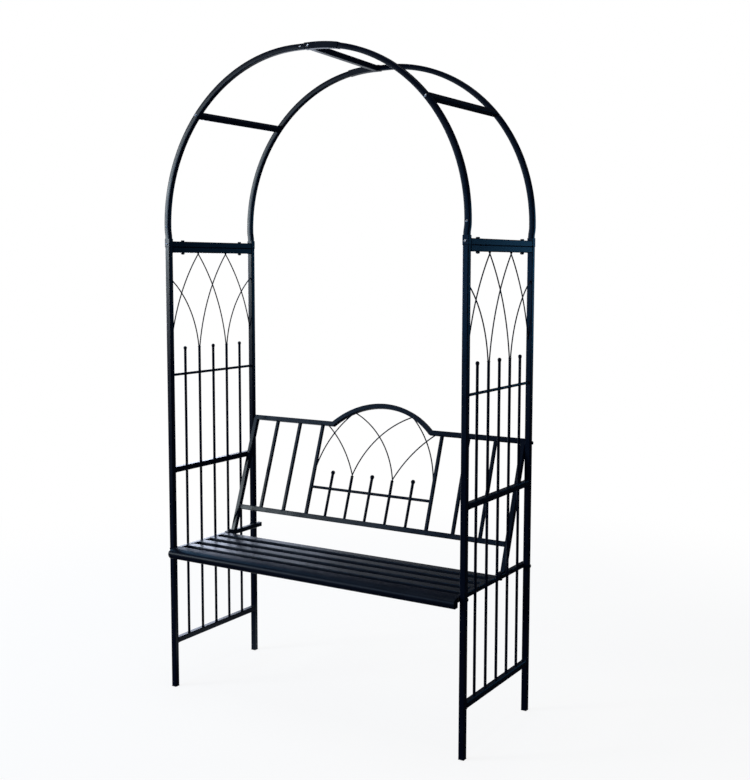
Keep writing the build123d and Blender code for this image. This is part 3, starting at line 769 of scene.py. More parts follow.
def tube_ring(
    middle: Iterable[float], first: Vector, second: Vector, size: Flat, corner: float
) -> Loop:
    """Return a closed ring round a rectangular tube's section.

    Args:
        middle: The section's centre, in millimetres.
        first: The direction of its width.
        second: The direction of its height.
        size: Its width and height.
        corner: The radius of its corners.

    Returns:
        The ring's points.
    """
    points: Loop = []
    for turn, across, up in ((0, 1, 1), (90, -1, 1), (180, -1, -1), (270, 1, -1)):
        centre = (across * (size[0] / 2 - corner), up * (size[1] / 2 - corner))
        for u, v in arc(centre, corner, turn, turn + 90, 30):
            points.append(tuple(Vector(middle) + first * u + second * v))
    return points


def rod_ring(middle: Iterable[float], axis: Vector, radius: float) -> Loop:
    """Return a closed ring round a rod.

    Args:
        middle: The ring's centre, in millimetres.
        axis: The rod's direction.
        radius: The rod's radius.

    Returns:
        The ring's points.
    """
    first = axis.orthogonal().normalized()
    second = axis.cross(first).normalized()
    turns = [2 * pi * step / RING_SIDES for step in range(RING_SIDES)]
    spokes = [first * cos(turn) + second * sin(turn) for turn in turns]
    return [tuple(Vector(middle) + spoke * radius) for spoke in spokes]


def shader_group(
    name: str, inputs: dict[str, float | tuple[float, ...]], outputs: dict[str, Socket]
) -> Group:
    """Start a shader group whose inputs are numbers and colours.

    Args:
        name: The group's name.
        inputs: Each input's first value, by name.
        outputs: Each output's kind, by name.

    Returns:
        The group.
    """
    kinds = [
        (label, Socket.COLOUR if isinstance(value, tuple) else Socket.FLOAT, value)
        for label, value in inputs.items()
    ]
    return Group(name, "ShaderNodeTree", kinds, list(outputs.items()))


def fine_texture_group() -> bpy.types.NodeTree:
    """Return the group that puts out a sprayed or moulded surface's small bumps."""
    inputs = {"Coarse Scale": 260.0, "Fine Scale": 900.0, "Fine Share": 0.3}
    group = shader_group("fine texture", inputs, {"Height": Socket.FLOAT})
    given = group.given
    fine = group.math("MULTIPLY", group.noise(given["Fine Scale"], 1.0), given["Fine Share"])
    return group.put({"Height": group.math("ADD", group.noise(given["Coarse Scale"], 2.0), fine)})


def uneven_coat_group() -> bpy.types.NodeTree:
    """Return the group that puts out a coat's slow changes of colour and gloss."""
    dark = (0.01, 0.01, 0.01, 1.0)
    group = shader_group(
        "uneven coat",
        {
            "Colour": dark, "Second Colour": dark, "Roughness": 0.35, "Roughness Swing": 0.08,
            "Patch Scale": 9.0, "Patch Low": 0.35, "Patch High": 0.65,
        },
        {"Colour": Socket.COLOUR, "Roughness": Socket.FLOAT},
    )
    given = group.given
    patches = group.noise(given["Patch Scale"], 4.0, 0.6)
    share = group.ramp(patches, given["Patch Low"], given["Patch High"])
    swing = group.math("MULTIPLY", share, given["Roughness Swing"])
    return group.put(
        {
            "Colour": group.blend(share, given["Colour"], given["Second Colour"]),
            "Roughness": group.math("ADD", given["Roughness"], swing),
        }
    )


def dust_group() -> bpy.types.NodeTree:
    """Return the group that puts out a thin speckle of dust on faces that look up."""
    level_from, level_to = 0.6, 0.98
    speck_from, speck_to = 0.5, 0.72
    group = shader_group("settled dust", {"Amount": 0.2, "Speck Scale": 700.0},
                         {"Mask": Socket.FLOAT})
    normal = group.get("ShaderNodeNewGeometry", output="Normal")
    level = group.ramp(group.get("ShaderNodeSeparateXYZ", {0: normal}, 2), level_from, level_to)
    specks = group.ramp(group.noise(group.given["Speck Scale"], 2.0), speck_from, speck_to)
    thick = group.math("MULTIPLY", level, specks)
    return group.put({"Mask": group.math("MULTIPLY", thick, group.given["Amount"])})


@dataclass(frozen=True)
class Effects:
    """The shader groups that the finishes share."""

    fine_texture: bpy.types.NodeTree
    uneven_coat: bpy.types.NodeTree
    dust: bpy.types.NodeTree

    @staticmethod
    def build() -> "Effects":
        """Build each group once."""
        return Effects(fine_texture_group(), uneven_coat_group(), dust_group())


def blank_graph(owner: bpy.types.Material | bpy.types.World) -> Graph:
    """Switch on a material's or a world's nodes.

    Args:
        owner: The material or world.

    Returns:
        The graph of its nodes, with none in it.
    """
    owner.use_nodes = True
    owner.node_tree.nodes.clear()
    return Graph(owner.node_tree)


def opaque(colour: Colour) -> tuple[float, float, float, float]:
    """Return a colour with full alpha."""
    return (*colour, 1.0)


@dataclass(frozen=True)
class Finish(ABC):
    """What every finish has: two colours that blend in patches, and a finely bumpy surface."""

    name: str
    colour: Colour
    second_colour: Colour
    roughness: float
    roughness_swing: float
    patch_scale: float
    coarse_scale: float
    fine_scale: float
    bump: float
    bump_depth: float

    @abstractmethod
    def gloss(self) -> Feeds:
        """Return the shader's values that are this finish's own."""

    def top_colour(
        self, graph: Graph, effects: Effects, colour: bpy.types.NodeSocket
    ) -> bpy.types.NodeSocket:
        """Return the finish's colour with what lies on it, which is nothing here."""
        return colour

    def make(self, effects: Effects) -> bpy.types.Material:
        """Build the material.

        Args:
            effects: The shared shader groups.

        Returns:
            The material.
        """
        material = bpy.data.materials.new(self.name)
        graph = blank_graph(material)
        feeds = {
            "Colour": opaque(self.colour),
            "Second Colour": opaque(self.second_colour),
            "Roughness": self.roughness,
            "Roughness Swing": self.roughness_swing,
            "Patch Scale": self.patch_scale,
        }
        coat = graph.add("ShaderNodeGroup", feeds, node_tree=effects.uneven_coat).outputs
        feeds = {"Coarse Scale": self.coarse_scale, "Fine Scale": self.fine_scale}
        height = graph.get("ShaderNodeGroup", feeds, "Height", node_tree=effects.fine_texture)
        feeds = {"Height": height, "Strength": self.bump, "Distance": self.bump_depth}
        feeds = {
            "Base Color": self.top_colour(graph, effects, coat["Colour"]),
            "Roughness": coat["Roughness"],
            "Normal": graph.get("ShaderNodeBump", feeds),
            **self.gloss(),
        }
        graph.add("ShaderNodeOutputMaterial", {0: graph.get("ShaderNodeBsdfPrincipled", feeds)})
        return material


@dataclass(frozen=True)
class PowderCoat(Finish):
    """Dark semi-gloss powder coat with a fine orange-peel surface and a little dust."""

    name: str = "powder coat"
    colour: Colour = (0.0005, 0.0014, 0.0056)
    second_colour: Colour = (0.0009, 0.0024, 0.0080)
    roughness: float = 0.25
    roughness_swing: float = 0.07
    patch_scale: float = 9.0
    coarse_scale: float = 330.0
    fine_scale: float = 900.0
    bump: float = 0.10
    bump_depth: float = 0.0004
    specular: float = 0.10
    gloss_tint: Colour = (0.80, 0.95, 1.0)
    dust: float = 0.02
    dust_colour: Colour = (0.30, 0.31, 0.33)

    def gloss(self) -> Feeds:
        """Return the coat's weak, cool gloss."""
        return {"Specular IOR Level": self.specular, "Specular Tint": opaque(self.gloss_tint)}

    def top_colour(
        self, graph: Graph, effects: Effects, colour: bpy.types.NodeSocket
    ) -> bpy.types.NodeSocket:
        """Return the coat's colour with dust on the faces that look up."""
        mask = graph.get("ShaderNodeGroup", {"Amount": self.dust}, "Mask", node_tree=effects.dust)
        return graph.blend(mask, colour, opaque(self.dust_colour))


@dataclass(frozen=True)
class Plating(Finish):
    """Zinc plate, bright or blackened, with a faint crystal pattern and fine tool marks."""

    name: str = "bright zinc"
    colour: Colour = (0.70, 0.72, 0.74)
    second_colour: Colour = (0.52, 0.55, 0.60)
    roughness: float = 0.46
    roughness_swing: float = 0.16
    patch_scale: float = 300.0
    coarse_scale: float = 900.0
    fine_scale: float = 2600.0
    bump: float = 0.12
    bump_depth: float = 0.0002
    metallic: float = 1.0

    def gloss(self) -> Feeds:
        """Return the plate's metal shine."""
        return {"Metallic": self.metallic}


@dataclass(frozen=True)
class Plastic(Finish):
    """Matte black moulded plastic with a fine spark-eroded grain."""

    name: str = "black plastic"
    colour: Colour = (0.012, 0.012, 0.014)
    second_colour: Colour = (0.018, 0.018, 0.020)
    roughness: float = 0.55
    roughness_swing: float = 0.08
    patch_scale: float = 60.0
    coarse_scale: float = 1200.0
    fine_scale: float = 3000.0
    bump: float = 0.35
    bump_depth: float = 0.0002
    specular: float = 0.4

    def gloss(self) -> Feeds:
        """Return the plastic's gloss."""
        return {"Specular IOR Level": self.specular}


@dataclass(frozen=True)
class Palette:
    """Every finish on the bench, as materials."""

    panel: bpy.types.Material
    arch: bpy.types.Material
    seat: bpy.types.Material
    edge: bpy.types.Material
    backrest: bpy.types.Material
    wire: bpy.types.Material
    weld: bpy.types.Material
    zinc: bpy.types.Material
    dark_zinc: bpy.types.Material
    plastic: bpy.types.Material

    @staticmethod
    def mix(effects: Effects) -> "Palette":
        """Build the materials from the shared effects."""
        seat = PowderCoat("seat powder coat", roughness=0.30, specular=0.30, dust=0.03)
        edge = PowderCoat("front edge powder coat", roughness=0.40, specular=0.12)
        finishes = {
            "panel": PowderCoat("panel powder coat"),
            "arch": PowderCoat("arch powder coat"),
            "seat": seat,
            "edge": edge,
            "backrest": PowderCoat("backrest powder coat"),
            "wire": PowderCoat("wire powder coat", bump=0.06),
            "weld": PowderCoat("coat over welds", bump=0.2, roughness=0.38),
            "zinc": Plating(),
            "dark_zinc": Plating(
                "blackened zinc", (0.020, 0.024, 0.030), (0.035, 0.040, 0.048), roughness=0.34
            ),
            "plastic": Plastic(),
        }
        return Palette(**{use: finish.make(effects) for use, finish in finishes.items()})


@dataclass
class SubAssembly:
    """What every part of the bench shares: tools, finishes and the main sizes."""

    shop: Shop
    palette: Palette
    half_across: float = 532.5
    half_deep: float = 210.0
    leg_size: float = 18.0
    leg_top: float = 1440.0
    set_out: float = 3.0
    seat_height: float = 468.0
    rail_inner: float = 508.5
    stile_inner: float = 507.5
    back_tube: float = 16.0
    weld_radius: float = 1.0
    weld_sink: float = 0.3

    def lay_welds(self, name: str, rings: Iterable[Loop], slot: str) -> None:
        """Lay weld beads round rings as one piece, painted with the weld finish."""
        settle(self.shop.welds(name, rings, self.weld_radius, self.palette.weld), slot)


@dataclass
class Lattice(SubAssembly, ABC):
    """Five upright rods with balls, a cross rod and six crossing wires, all in one plane.

    A place in the plane is given by its distance from the middle and its rise.
    """

    slot: str = "panel_paint"
    recline: float = 0.0
    pitch: float = 70.0
    rod_radius: float = 4.3
    ball_radius: float = 5.8
    ball_rise: float = 1114.0
    cross_rise: float = 1030.0
    spring_rise: float = 1114.0
    wire_span: float = 140.0
    wire_radius: float = 2.0
    wire_layer: float = 2.05
    bury: float = 1.2
    cross_bead: float = 0.92

    @property
    @abstractmethod
    def title(self) -> str:
        """Return the word that the lattice's nodes start with."""

    @property
    @abstractmethod
    def paint(self) -> bpy.types.Material:
        """Return what the rods are painted with."""

    @property
    @abstractmethod
    def axes(self) -> tuple[Vector, Vector]:
        """Return the plane's directions, along and up."""

    @property
    @abstractmethod
    def edge(self) -> float:
        """Return how far the lattice reaches to each side of its middle."""

    @property
    @abstractmethod
    def rod_stops(self) -> list[float]:
        """Return the rises at which the uprights start, stop and start again."""

    @property
    @abstractmethod
    def wire_rise(self) -> float:
        """Return how high the wires' opening is."""

    @property
    @abstractmethod
    def springs(self) -> list[tuple[float, Wire]]:
        """Return where three wires start, and each one's three points as shares of its field."""

    @abstractmethod
    def at(self, along: float, rise: float, proud: float = 0.0) -> Point:
        """Return a place in the plane, or proud of it, in millimetres."""

    @abstractmethod
    def fits(self, spot: Flat) -> bool:
        """Return whether a place in the plane is inside the wires' opening, or just in its rim."""

    @property
    def reaches(self) -> list[float]:
        """Return where the five uprights stand."""
        return [step * self.pitch for step in range(-2, 3)]

    def upright_runs(self) -> list[Loop]:
        """Return the uprights' centre lines, cut where they cross a rail."""
        seat = sqrt(self.ball_radius**2 - self.rod_radius**2)
        runs: list[Loop] = []
        for number, reach in enumerate(self.reaches):
            top = self.spring_rise if number % 2 else self.ball_rise - seat
            stops = [*self.rod_stops, top]
            for foot, head in zip(stops[::2], stops[1::2]):
                runs.append([self.at(reach, foot), self.at(reach, head)])
        return runs

    def make_uprights(self) -> None:
        """Make the five rods."""
        rods = self.shop.rods(
            f"{self.title}_rods", self.upright_runs(), self.rod_radius, self.paint
        )
        settle(rods, self.slot, f"{self.title}_uprights")

    def make_balls(self) -> None:
        """Make the three balls that sit on the rods' ends."""
        start = -degrees(atan2(sqrt(self.ball_radius**2 - self.rod_radius**2), self.rod_radius))
        outline = arc((0, 0), self.ball_radius, start, BALL_END, BALL_STEP)
        rings = [Ring(z, u) for u, z in outline]
        ball = turned_shape("ball", rings)
        ball.transform(Matrix.Rotation(-radians(self.recline), 4, "X"))
        places = [(self.at(reach, self.ball_rise), Facing.UP) for reach in self.reaches[::2]]
        settle(self.shop.copies(f"{self.title}_balls", ball, places, self.paint), self.slot)

    def make_cross_rod(self) -> None:
        """Make the short rods between the uprights."""
        spots = (-self.edge, *self.reaches, self.edge)
        stops = [self.at(spot, self.cross_rise) for spot in spots]
        rods = self.shop.rods(
            f"{self.title}_cross_rods", zip(stops, stops[1:]), self.rod_radius, self.paint
        )
        settle(rods, self.slot, f"{self.title}_cross_rod")

    def wire_routes(self) -> list[Loop]:
        """Return the wires' centre lines: three that lean one way and their mirror images."""
        routes: list[Loop] = []
        for leaning in (1, -1):
            for start, shares in self.springs:
                points = [
                    (
                        leaning * (start + share * self.wire_span),
                        self.spring_rise + rise * self.wire_rise,
                    )
                    for share, rise in shares
                ]
                flat = bent_wire(points, self.fits)
                routes.append([self.at(u, v, leaning * self.wire_layer) for u, v in flat])
        return routes

    def make_tracery(self) -> None:
        """Make the six crossing wires."""
        wires = self.shop.rods(
            f"{self.title}_wires", self.wire_routes(), self.wire_radius, self.palette.wire
        )
        settle(wires, "wire_paint", f"{self.title}_tracery")

    def weld_rings(self) -> list[Loop]:
        """Return the rings round the rods' ends and where the cross rod meets the uprights."""
        along, up = self.axes
        rings = [rod_ring(end, up, self.rod_radius) for run in self.upright_runs() for end in run]
        for sign in (-1, 1):
            for reach in self.reaches:
                spot = self.at(reach + sign * self.rod_radius, self.cross_rise)
                rings.append(rod_ring(spot, along, self.rod_radius * self.cross_bead))
            spot = self.at(sign * self.edge, self.cross_rise)
            rings.append(rod_ring(spot, along, self.rod_radius))
        return rings


@dataclass
class SidePanel(Lattice):
    """One side panel: legs, rails, rods, balls and the tracery under the top rail."""

    side: Side = Side.LEFT
    leg_corner: float = 2.0
    rail_heights: tuple[float, float, float] = (154.0, 721.0, 1431.0)
    wire_rise: float = 308.0
    weld_radius: float = 1.1
    weld_sink: float = 0.4
    tall_wire: Wire = ((-0.008, -0.026), (0.5, 0.677), (1.057, 1.029))
    low_wire: Wire = ((-0.006, -0.026), (0.579, 0.58), (1.074, 0.769))

    @property
    def title(self) -> str:
        """Return the word that the panel's nodes start with."""
        return self.side.word

    @property
    def paint(self) -> bpy.types.Material:
        """Return what the panel is painted with."""
        return self.palette.panel

    @property
    def axes(self) -> tuple[Vector, Vector]:
        """Return the panel's directions, along and up."""
        return Y_AXIS, Z_AXIS

    @property
    def edge(self) -> float:
        """Return how far a rail reaches from the mid-plane."""
        return self.half_deep - self.leg_size / 2

    @property
    def rod_stops(self) -> list[float]:
        """Return the rises of the rails' faces, up to the top of the middle rail."""
        low, middle, _ = self.rail_heights
        return [low + self.leg_size / 2, middle - self.leg_size / 2, middle + self.leg_size / 2]

    @property
    def springs(self) -> list[tuple[float, Wire]]:
        """Return the starts of the three wires that lean to the rear, and their shares."""
        tall, low = self.tall_wire, self.low_wire
        return [(-self.half_deep, tall), (-self.pitch, tall), (self.pitch, low)]

    def at(self, along: float, rise: float, proud: float = 0.0) -> Point:
        """Return a place in the panel, or proud of it, in millimetres."""
        return (self.side.value * self.half_across + proud, along, rise)

    def fits(self, spot: Flat) -> bool:
        """Return whether a place in the panel is inside the wires' opening, or just in its rim."""
        low, high = self.spring_rise - self.bury, self.spring_rise + self.wire_rise + self.bury
        return abs(spot[0]) < self.edge + self.bury and low < spot[1] < high

    def build(self) -> None:
        """Build and dress the panel."""
        nodes = ("front_leg", "rear_leg", "bottom_rail", "middle_rail", "top_rail")
        self.shop.ease(self.paint, *(f"{self.title}_{node}" for node in nodes))
        self.make_uprights()
        self.make_balls()
        self.make_cross_rod()
        self.make_tracery()
        rings = self.weld_rings()
        size = (self.leg_size, self.leg_size)
        for height in self.rail_heights:
            for end in End:
                middle = self.at(end.value * (self.edge - self.weld_sink), height)
                rings.append(tube_ring(middle, X_AXIS, Z_AXIS, size, self.leg_corner))
        self.lay_welds(f"{self.title}_panel_welds", rings, self.slot)


@dataclass
class Arch(SubAssembly):
    """The two hoops with their sockets, ties, sleeves and rungs."""

    socket_height: float = 26.0
    socket_size: float = 19.0
    hoop_size: float = 16.5
    hoop_corner: float = 2.2
    hoop_foot_depth: float = 22.0
    arc_offset: float = 27.5
    arc_height: float = 1505.0
    set_bend_radius: float = 100.0
    bend_step: float = 3.0
    halves_meet: float = 61.0
    joint_gap: float = 1.0
    weld_radius: float = 1.1
    foot_ring: Flat = (18.2, 1.6)
    tie_ring: Flat = (18.0, 2.0)

    @property
    def radius(self) -> float:
        """Return the radius of a half's big arc."""
        return self.half_across + self.set_out - self.arc_offset

    def half_route(self, side: Side, end: End) -> Loop:
        """Return one half hoop's centre line, from its foot to its joint beside the crown.

        Args:
            side: The side that its foot stands on.
            end: The hoop that it belongs to.

        Returns:
            The points, in millimetres.
        """
        bend, socket_top = self.set_bend_radius, self.leg_top + self.socket_height
        first = (self.half_across + bend, socket_top)
        to_arc = (first[0] - self.arc_offset, first[1] - self.arc_height)
        gap, reach = hypot(*to_arc), self.radius - bend
        along = (reach**2 - (2 * bend) ** 2 + gap**2) / (2 * gap)
        start = atan2(to_arc[1], to_arc[0]) + atan2(sqrt(reach**2 - along**2), along)
        second = (self.arc_offset + reach * cos(start), self.arc_height + reach * sin(start))
        outward = degrees(atan2(second[1] - first[1], first[0] - second[0]))
        flat = [(self.half_across, socket_top - self.hoop_foot_depth)]
        flat += arc(first, bend, 180, 180 - outward, self.bend_step)
        flat += arc(second, bend, -outward, degrees(start), self.bend_step)[1:]
        centre = (self.arc_offset, self.arc_height)
        past_crown = side.value * end.value
        reached = self.halves_meet - past_crown * self.joint_gap / 2
        fall = degrees(atan2(reached - self.arc_offset, self.radius))
        if past_crown > 0:
            flat += arc(centre, self.radius, degrees(start), 90)[1:]
            flat += arc((-centre[0], centre[1]), self.radius, 90, 90 + fall)
        else:
            flat += arc(centre, self.radius, degrees(start), 90 - fall)[1:]
        return [(side.value * x, end.value * self.half_deep, z) for x, z in flat]

    def build(self) -> None:
        """Build and dress the arch."""
        shop, paint = self.shop, self.palette.arch
        for side in Side:
            for end in End:
                corner = f"{side.word}_{end.word}"
                half = shop.tube(
                    f"{corner}_half_hoop", self.half_route(side, end), self.hoop_size,
                    self.hoop_corner, Y_AXIS, paint,
                )
                settle(half, "arch_paint", f"{corner}_hoop")
                shop.ease(paint, f"{corner}_socket", edge=0.35)
            shop.ease(paint, f"{side.word}_tie", f"{side.word}_rung")
        shop.ease(paint, "crown_rung")
        shop.ease(paint, "front_sleeve", "rear_sleeve", edge=0.35)
        shop.ease(self.palette.plastic, "inner_plugs", edge=0.3)
        self.make_welds()

    def make_welds(self) -> None:
        """Lay the weld beads where the sockets stand on the legs and meet the ties."""
        rings: list[Loop] = []
        (foot_size, foot_corner), (tie_size, tie_corner) = self.foot_ring, self.tie_ring
        tie_end, tie_height = self.half_deep - self.socket_size / 2, self.leg_top + tie_size / 2
        for side in Side:
            for end in End:
                x = side.value * self.half_across
                foot = (x, end.value * self.half_deep, self.leg_top)
                size = (foot_size, foot_size)
                rings.append(tube_ring(foot, X_AXIS, Y_AXIS, size, foot_corner))
                middle, size = (x, end.value * tie_end, tie_height), (tie_size, tie_size)
                rings.append(tube_ring(middle, X_AXIS, Z_AXIS, size, tie_corner))
        self.lay_welds("arch_welds", rings, "arch_paint")


@dataclass
class Seat(SubAssembly):
    """The seat: rails, slats, centre bearer and rolled front edge."""

    slat_count: int = 4
    slat_width: float = 30.0
    slat_thickness: float = 12.0
    slat_pitch: float = 59.5
    first_slat: float = 157.0
    sheet: float = 1.5
    back: float = 203.0
    lip: float = 1.0
    first_tilt: float = 91.5
    bends: tuple[Flat, ...] = ((260.0, 95.5), (70.0, 112.0), (11.5, 190.0), (19.5, 246.0))
    reach: float = 521.5
    plate_back: float = -223.3
    sheet_edge: float = 0.3
    weld_inset: float = 0.8
    weld_corner: float = 1.4

    def build(self) -> None:
        """Build and dress the seat."""
        shop, paint = self.shop, self.palette.seat
        slats = [f"seat_slat_{number}" for number in range(1, self.slat_count + 1)]
        shop.ease(paint, *slats, *(f"{side.word}_seat_rail" for side in Side), edge=0.6)
        shop.ease(paint, "seat_bearer", edge=0.5)
        shop.ease(self.palette.plastic, "rail_caps", edge=0.4)
        self.make_front_edge()
        self.make_welds()

    def make_front_edge(self) -> None:
        """Make the rolled sheet and its closing plates."""
        top = self.seat_height + self.sheet
        ahead = -self.back - self.lip
        outside = bent_sheet((ahead, top), self.first_tilt, self.bends)
        thinner = [(radius - self.sheet, tilt) for radius, tilt in self.bends]
        inside = bent_sheet((ahead, self.seat_height), self.first_tilt, thinner)
        hem = [(-self.back, self.seat_height), (-self.back, top)]
        bent = [*hem, *outside, *inside[::-1]]
        filled = [spot for spot in inside if spot[0] < self.plate_back]
        plate = [(self.plate_back, inside[-1][1]), (self.plate_back, filled[0][1]), *filled]
        inner = self.reach - self.sheet
        spans = [(bent, -self.reach, self.reach)]
        spans += [(plate, side.value * self.reach, side.value * inner) for side in Side]
        shape = bmesh.new()
        for outline, start, finish in spans:
            loft(shape, [[(x, y, z) for y, z in outline] for x in (start, finish)])
        piece = linked_object("seat_rolled_edge", finished_mesh("seat_rolled_edge", shape))
        piece.data.materials.append(self.palette.edge)
        for face in piece.data.polygons:
            face.use_smooth = True
        round_edges(piece, SHEET_CREASE, self.sheet_edge)
        settle(piece, "seat_paint", "seat_front_edge")

    def make_welds(self) -> None:
        """Lay the weld beads at the slats' ends."""
        size = (self.slat_width - self.weld_inset, self.slat_thickness - self.weld_inset)
        height = self.seat_height - self.slat_thickness / 2
        rings = [
            tube_ring(
                (
                    side.value * (self.rail_inner - self.weld_sink),
                    number * self.slat_pitch - self.first_slat,
                    height,
                ),
                Y_AXIS, Z_AXIS, size, self.weld_corner,
            )
            for number in range(self.slat_count)
            for side in Side
        ]
        self.lay_welds("seat_welds", rings, "seat_paint")


@dataclass
class Backrest(Lattice):
    """The tilted backrest, laid out up its own slope."""

    title: str = "backrest"
    slot: str = "backrest_paint"
    recline: float = 19.6
    base_depth: float = 79.0
    base_height: float = 465.0
    lower_rise: float = 86.0
    cross_rise: float = 186.0
    ball_rise: float = 241.0
    spring_rise: float = 236.0
    top_rise: float = 405.0
    arch_radius: float = 277.0
    arch_height: float = 74.5
    slat_count: int = 3
    slat_size: float = 10.0
    border_reach: float = 231.0
    stile_axis: float = 515.5
    pitch: float = 77.3
    rod_radius: float = 4.7
    ball_radius: float = 7.0
    wire_span: float = 77.3
    wire_radius: float = 2.1
    wire_layer: float = 2.15
    long_wire: Wire = ((-0.02, -0.025), (1.0, 0.589), (2.5, 0.917))
    short_wire: Wire = ((-0.034, -0.025), (0.737, 0.391), (1.826, 0.722))
    border_wire: Wire = ((0.017, -0.081), (0.686, 0.582), (1.544, 0.909))
    rail_corner: float = 1.8
    slat_inset: float = 0.6
    slat_corner: float = 1.2

    @property
    def paint(self) -> bpy.types.Material:
        """Return what the backrest is painted with."""
        return self.palette.backrest

    @property
    def axes(self) -> tuple[Vector, Vector]:
        """Return the backrest's directions, across the bench and up the slope."""
        lean = radians(self.recline)
        return X_AXIS, Vector((0, sin(lean), cos(lean)))

    @property
    def out(self) -> Vector:
        """Return the direction that the backrest faces."""
        lean = radians(self.recline)
        return Vector((0, -cos(lean), sin(lean)))

    @property
    def edge(self) -> float:
        """Return how far the middle opening reaches to each side."""
        return self.border_reach - self.slat_size / 2

    @property
    def rod_stops(self) -> list[float]:
        """Return the rise of the lower rail's upper face, where the rods start."""
        return [self.lower_rise + self.back_tube / 2]

    @property
    def arch_centre(self) -> float:
        """Return how far up the slope the raised arch's centre lies."""
        return self.top_rise + self.arch_height - self.arch_radius

    @property
    def wire_rise(self) -> float:
        """Return how high the opening under the raised arch is."""
        return self.arch_centre + self.arch_radius - self.back_tube / 2 - self.spring_rise

    @property
    def springs(self) -> list[tuple[float, Wire]]:
        """Return the starts of the three wires that lean to the right, and their shares."""
        starts = (-self.pitch, self.pitch, -self.border_reach)
        return list(zip(starts, (self.long_wire, self.short_wire, self.border_wire)))

    def at(self, along: float, rise: float, proud: float = 0.0) -> Point:
        """Return a place on the slope, or proud of it towards the sitter, in millimetres."""
        base = Vector((along, self.base_depth, self.base_height))
        return tuple(base + self.axes[1] * rise + self.out * proud)

    def fits(self, spot: Flat) -> bool:
        """Return whether a place on the slope is in the middle opening, or just in its rim.

        Args:
            spot: Its distance across and its rise.

        Returns:
            Whether it is.
        """
        underside = self.arch_radius - self.back_tube / 2 + self.bury
        below_rail = spot[1] < self.top_rise - self.back_tube / 2 + self.bury
        below_arch = hypot(spot[0], spot[1] - self.arch_centre) < underside
        inside = abs(spot[0]) < self.edge + self.bury and spot[1] > self.spring_rise - self.bury
        return inside and (below_rail or below_arch)

    def build(self) -> None:
        """Build and dress the backrest."""
        shop, paint = self.shop, self.paint
        for side in Side:
            shop.ease(paint, f"{side.word}_stile")
            shop.ease(paint, f"{side.word}_backrest_slats", edge=0.9)
        shop.ease(paint, "backrest_top_rail", "backrest_lower_rail")
        shop.ease(paint, "backrest_foot_plates", edge=0.4)
        self.make_uprights()
        self.make_cross_rod()
        self.make_balls()
        self.make_tracery()
        self.make_welds()

    def make_welds(self) -> None:
        """Lay the weld beads at the rails', slats' and rods' ends."""
        rings = self.weld_rings()
        up, half = self.axes[1], self.back_tube / 2
        rail = (self.back_tube, self.back_tube)
        slat = (self.slat_size - self.slat_inset, self.slat_size - self.slat_inset)
        step = (self.stile_axis - self.border_reach) / self.slat_count
        for side in Side:
            middle = self.at(side.value * (self.stile_inner - self.weld_sink), self.lower_rise)
            rings.append(tube_ring(middle, up, self.out, rail, self.rail_corner))
            for number in range(self.slat_count):
                reach = side.value * (self.border_reach + number * step)
                for rise in (self.lower_rise + half, self.top_rise - half):
                    spot = self.at(reach, rise)
                    rings.append(tube_ring(spot, X_AXIS, self.out, slat, self.slat_corner))
        self.lay_welds("backrest_welds", rings, self.slot)


@dataclass(frozen=True)
class ButtonScrew:
    """A button-headed screw with a hexagon socket. Shares are of its head's size."""

    radius: float
    height: float
    shank_length: float = 3.0
    shank_share: float = 0.45
    dome_turns: tuple[int, ...] = (15, 30, 45, 60)
    dome_height: float = 0.94
    dome_fall: float = 0.42
    rim_share: float = 0.50
    mouth_share: float = 0.40
    mouth_drop: float = 0.1
    floor_share: float = 0.38
    floor_height: float = 0.35

    def mesh(self) -> bpy.types.Mesh:
        """Return the screw's mesh, sitting at the origin and facing up."""
        radius, height, last = self.radius, self.height, self.dome_turns[-1]
        shank = radius * self.shank_share
        rings = [Ring(-self.shank_length, shank), Ring(0.0, shank), Ring(0.0, radius)]
        for turn in self.dome_turns:
            rise = height * sin(radians(turn)) / sin(radians(last)) * self.dome_height
            rings.append(Ring(rise, radius * (1 - self.dome_fall * (turn / last) ** 2)))
        rings += [
            Ring(height, radius * self.rim_share),
            Ring(height - self.mouth_drop, radius * self.mouth_share, True),
            Ring(height * self.floor_height, radius * self.floor_share, True),
        ]
        return turned_shape("screw", rings)


def spread(spot: Point, facing: Facing, ends: Iterable[End] = End) -> list[Place]:
    """Return a place's mirror images on both sides and at the given ends.

    Args:
        spot: The place on the right, and at the rear if it is mirrored to the front.
        facing: Which way a piece faces there.
        ends: The ends that it is mirrored to.

    Returns:
        The places.
    """
    return [
        ((side.value * spot[0], end.value * spot[1], spot[2]), facing.mirrored(side, end))
        for side in Side
        for end in ends
    ]


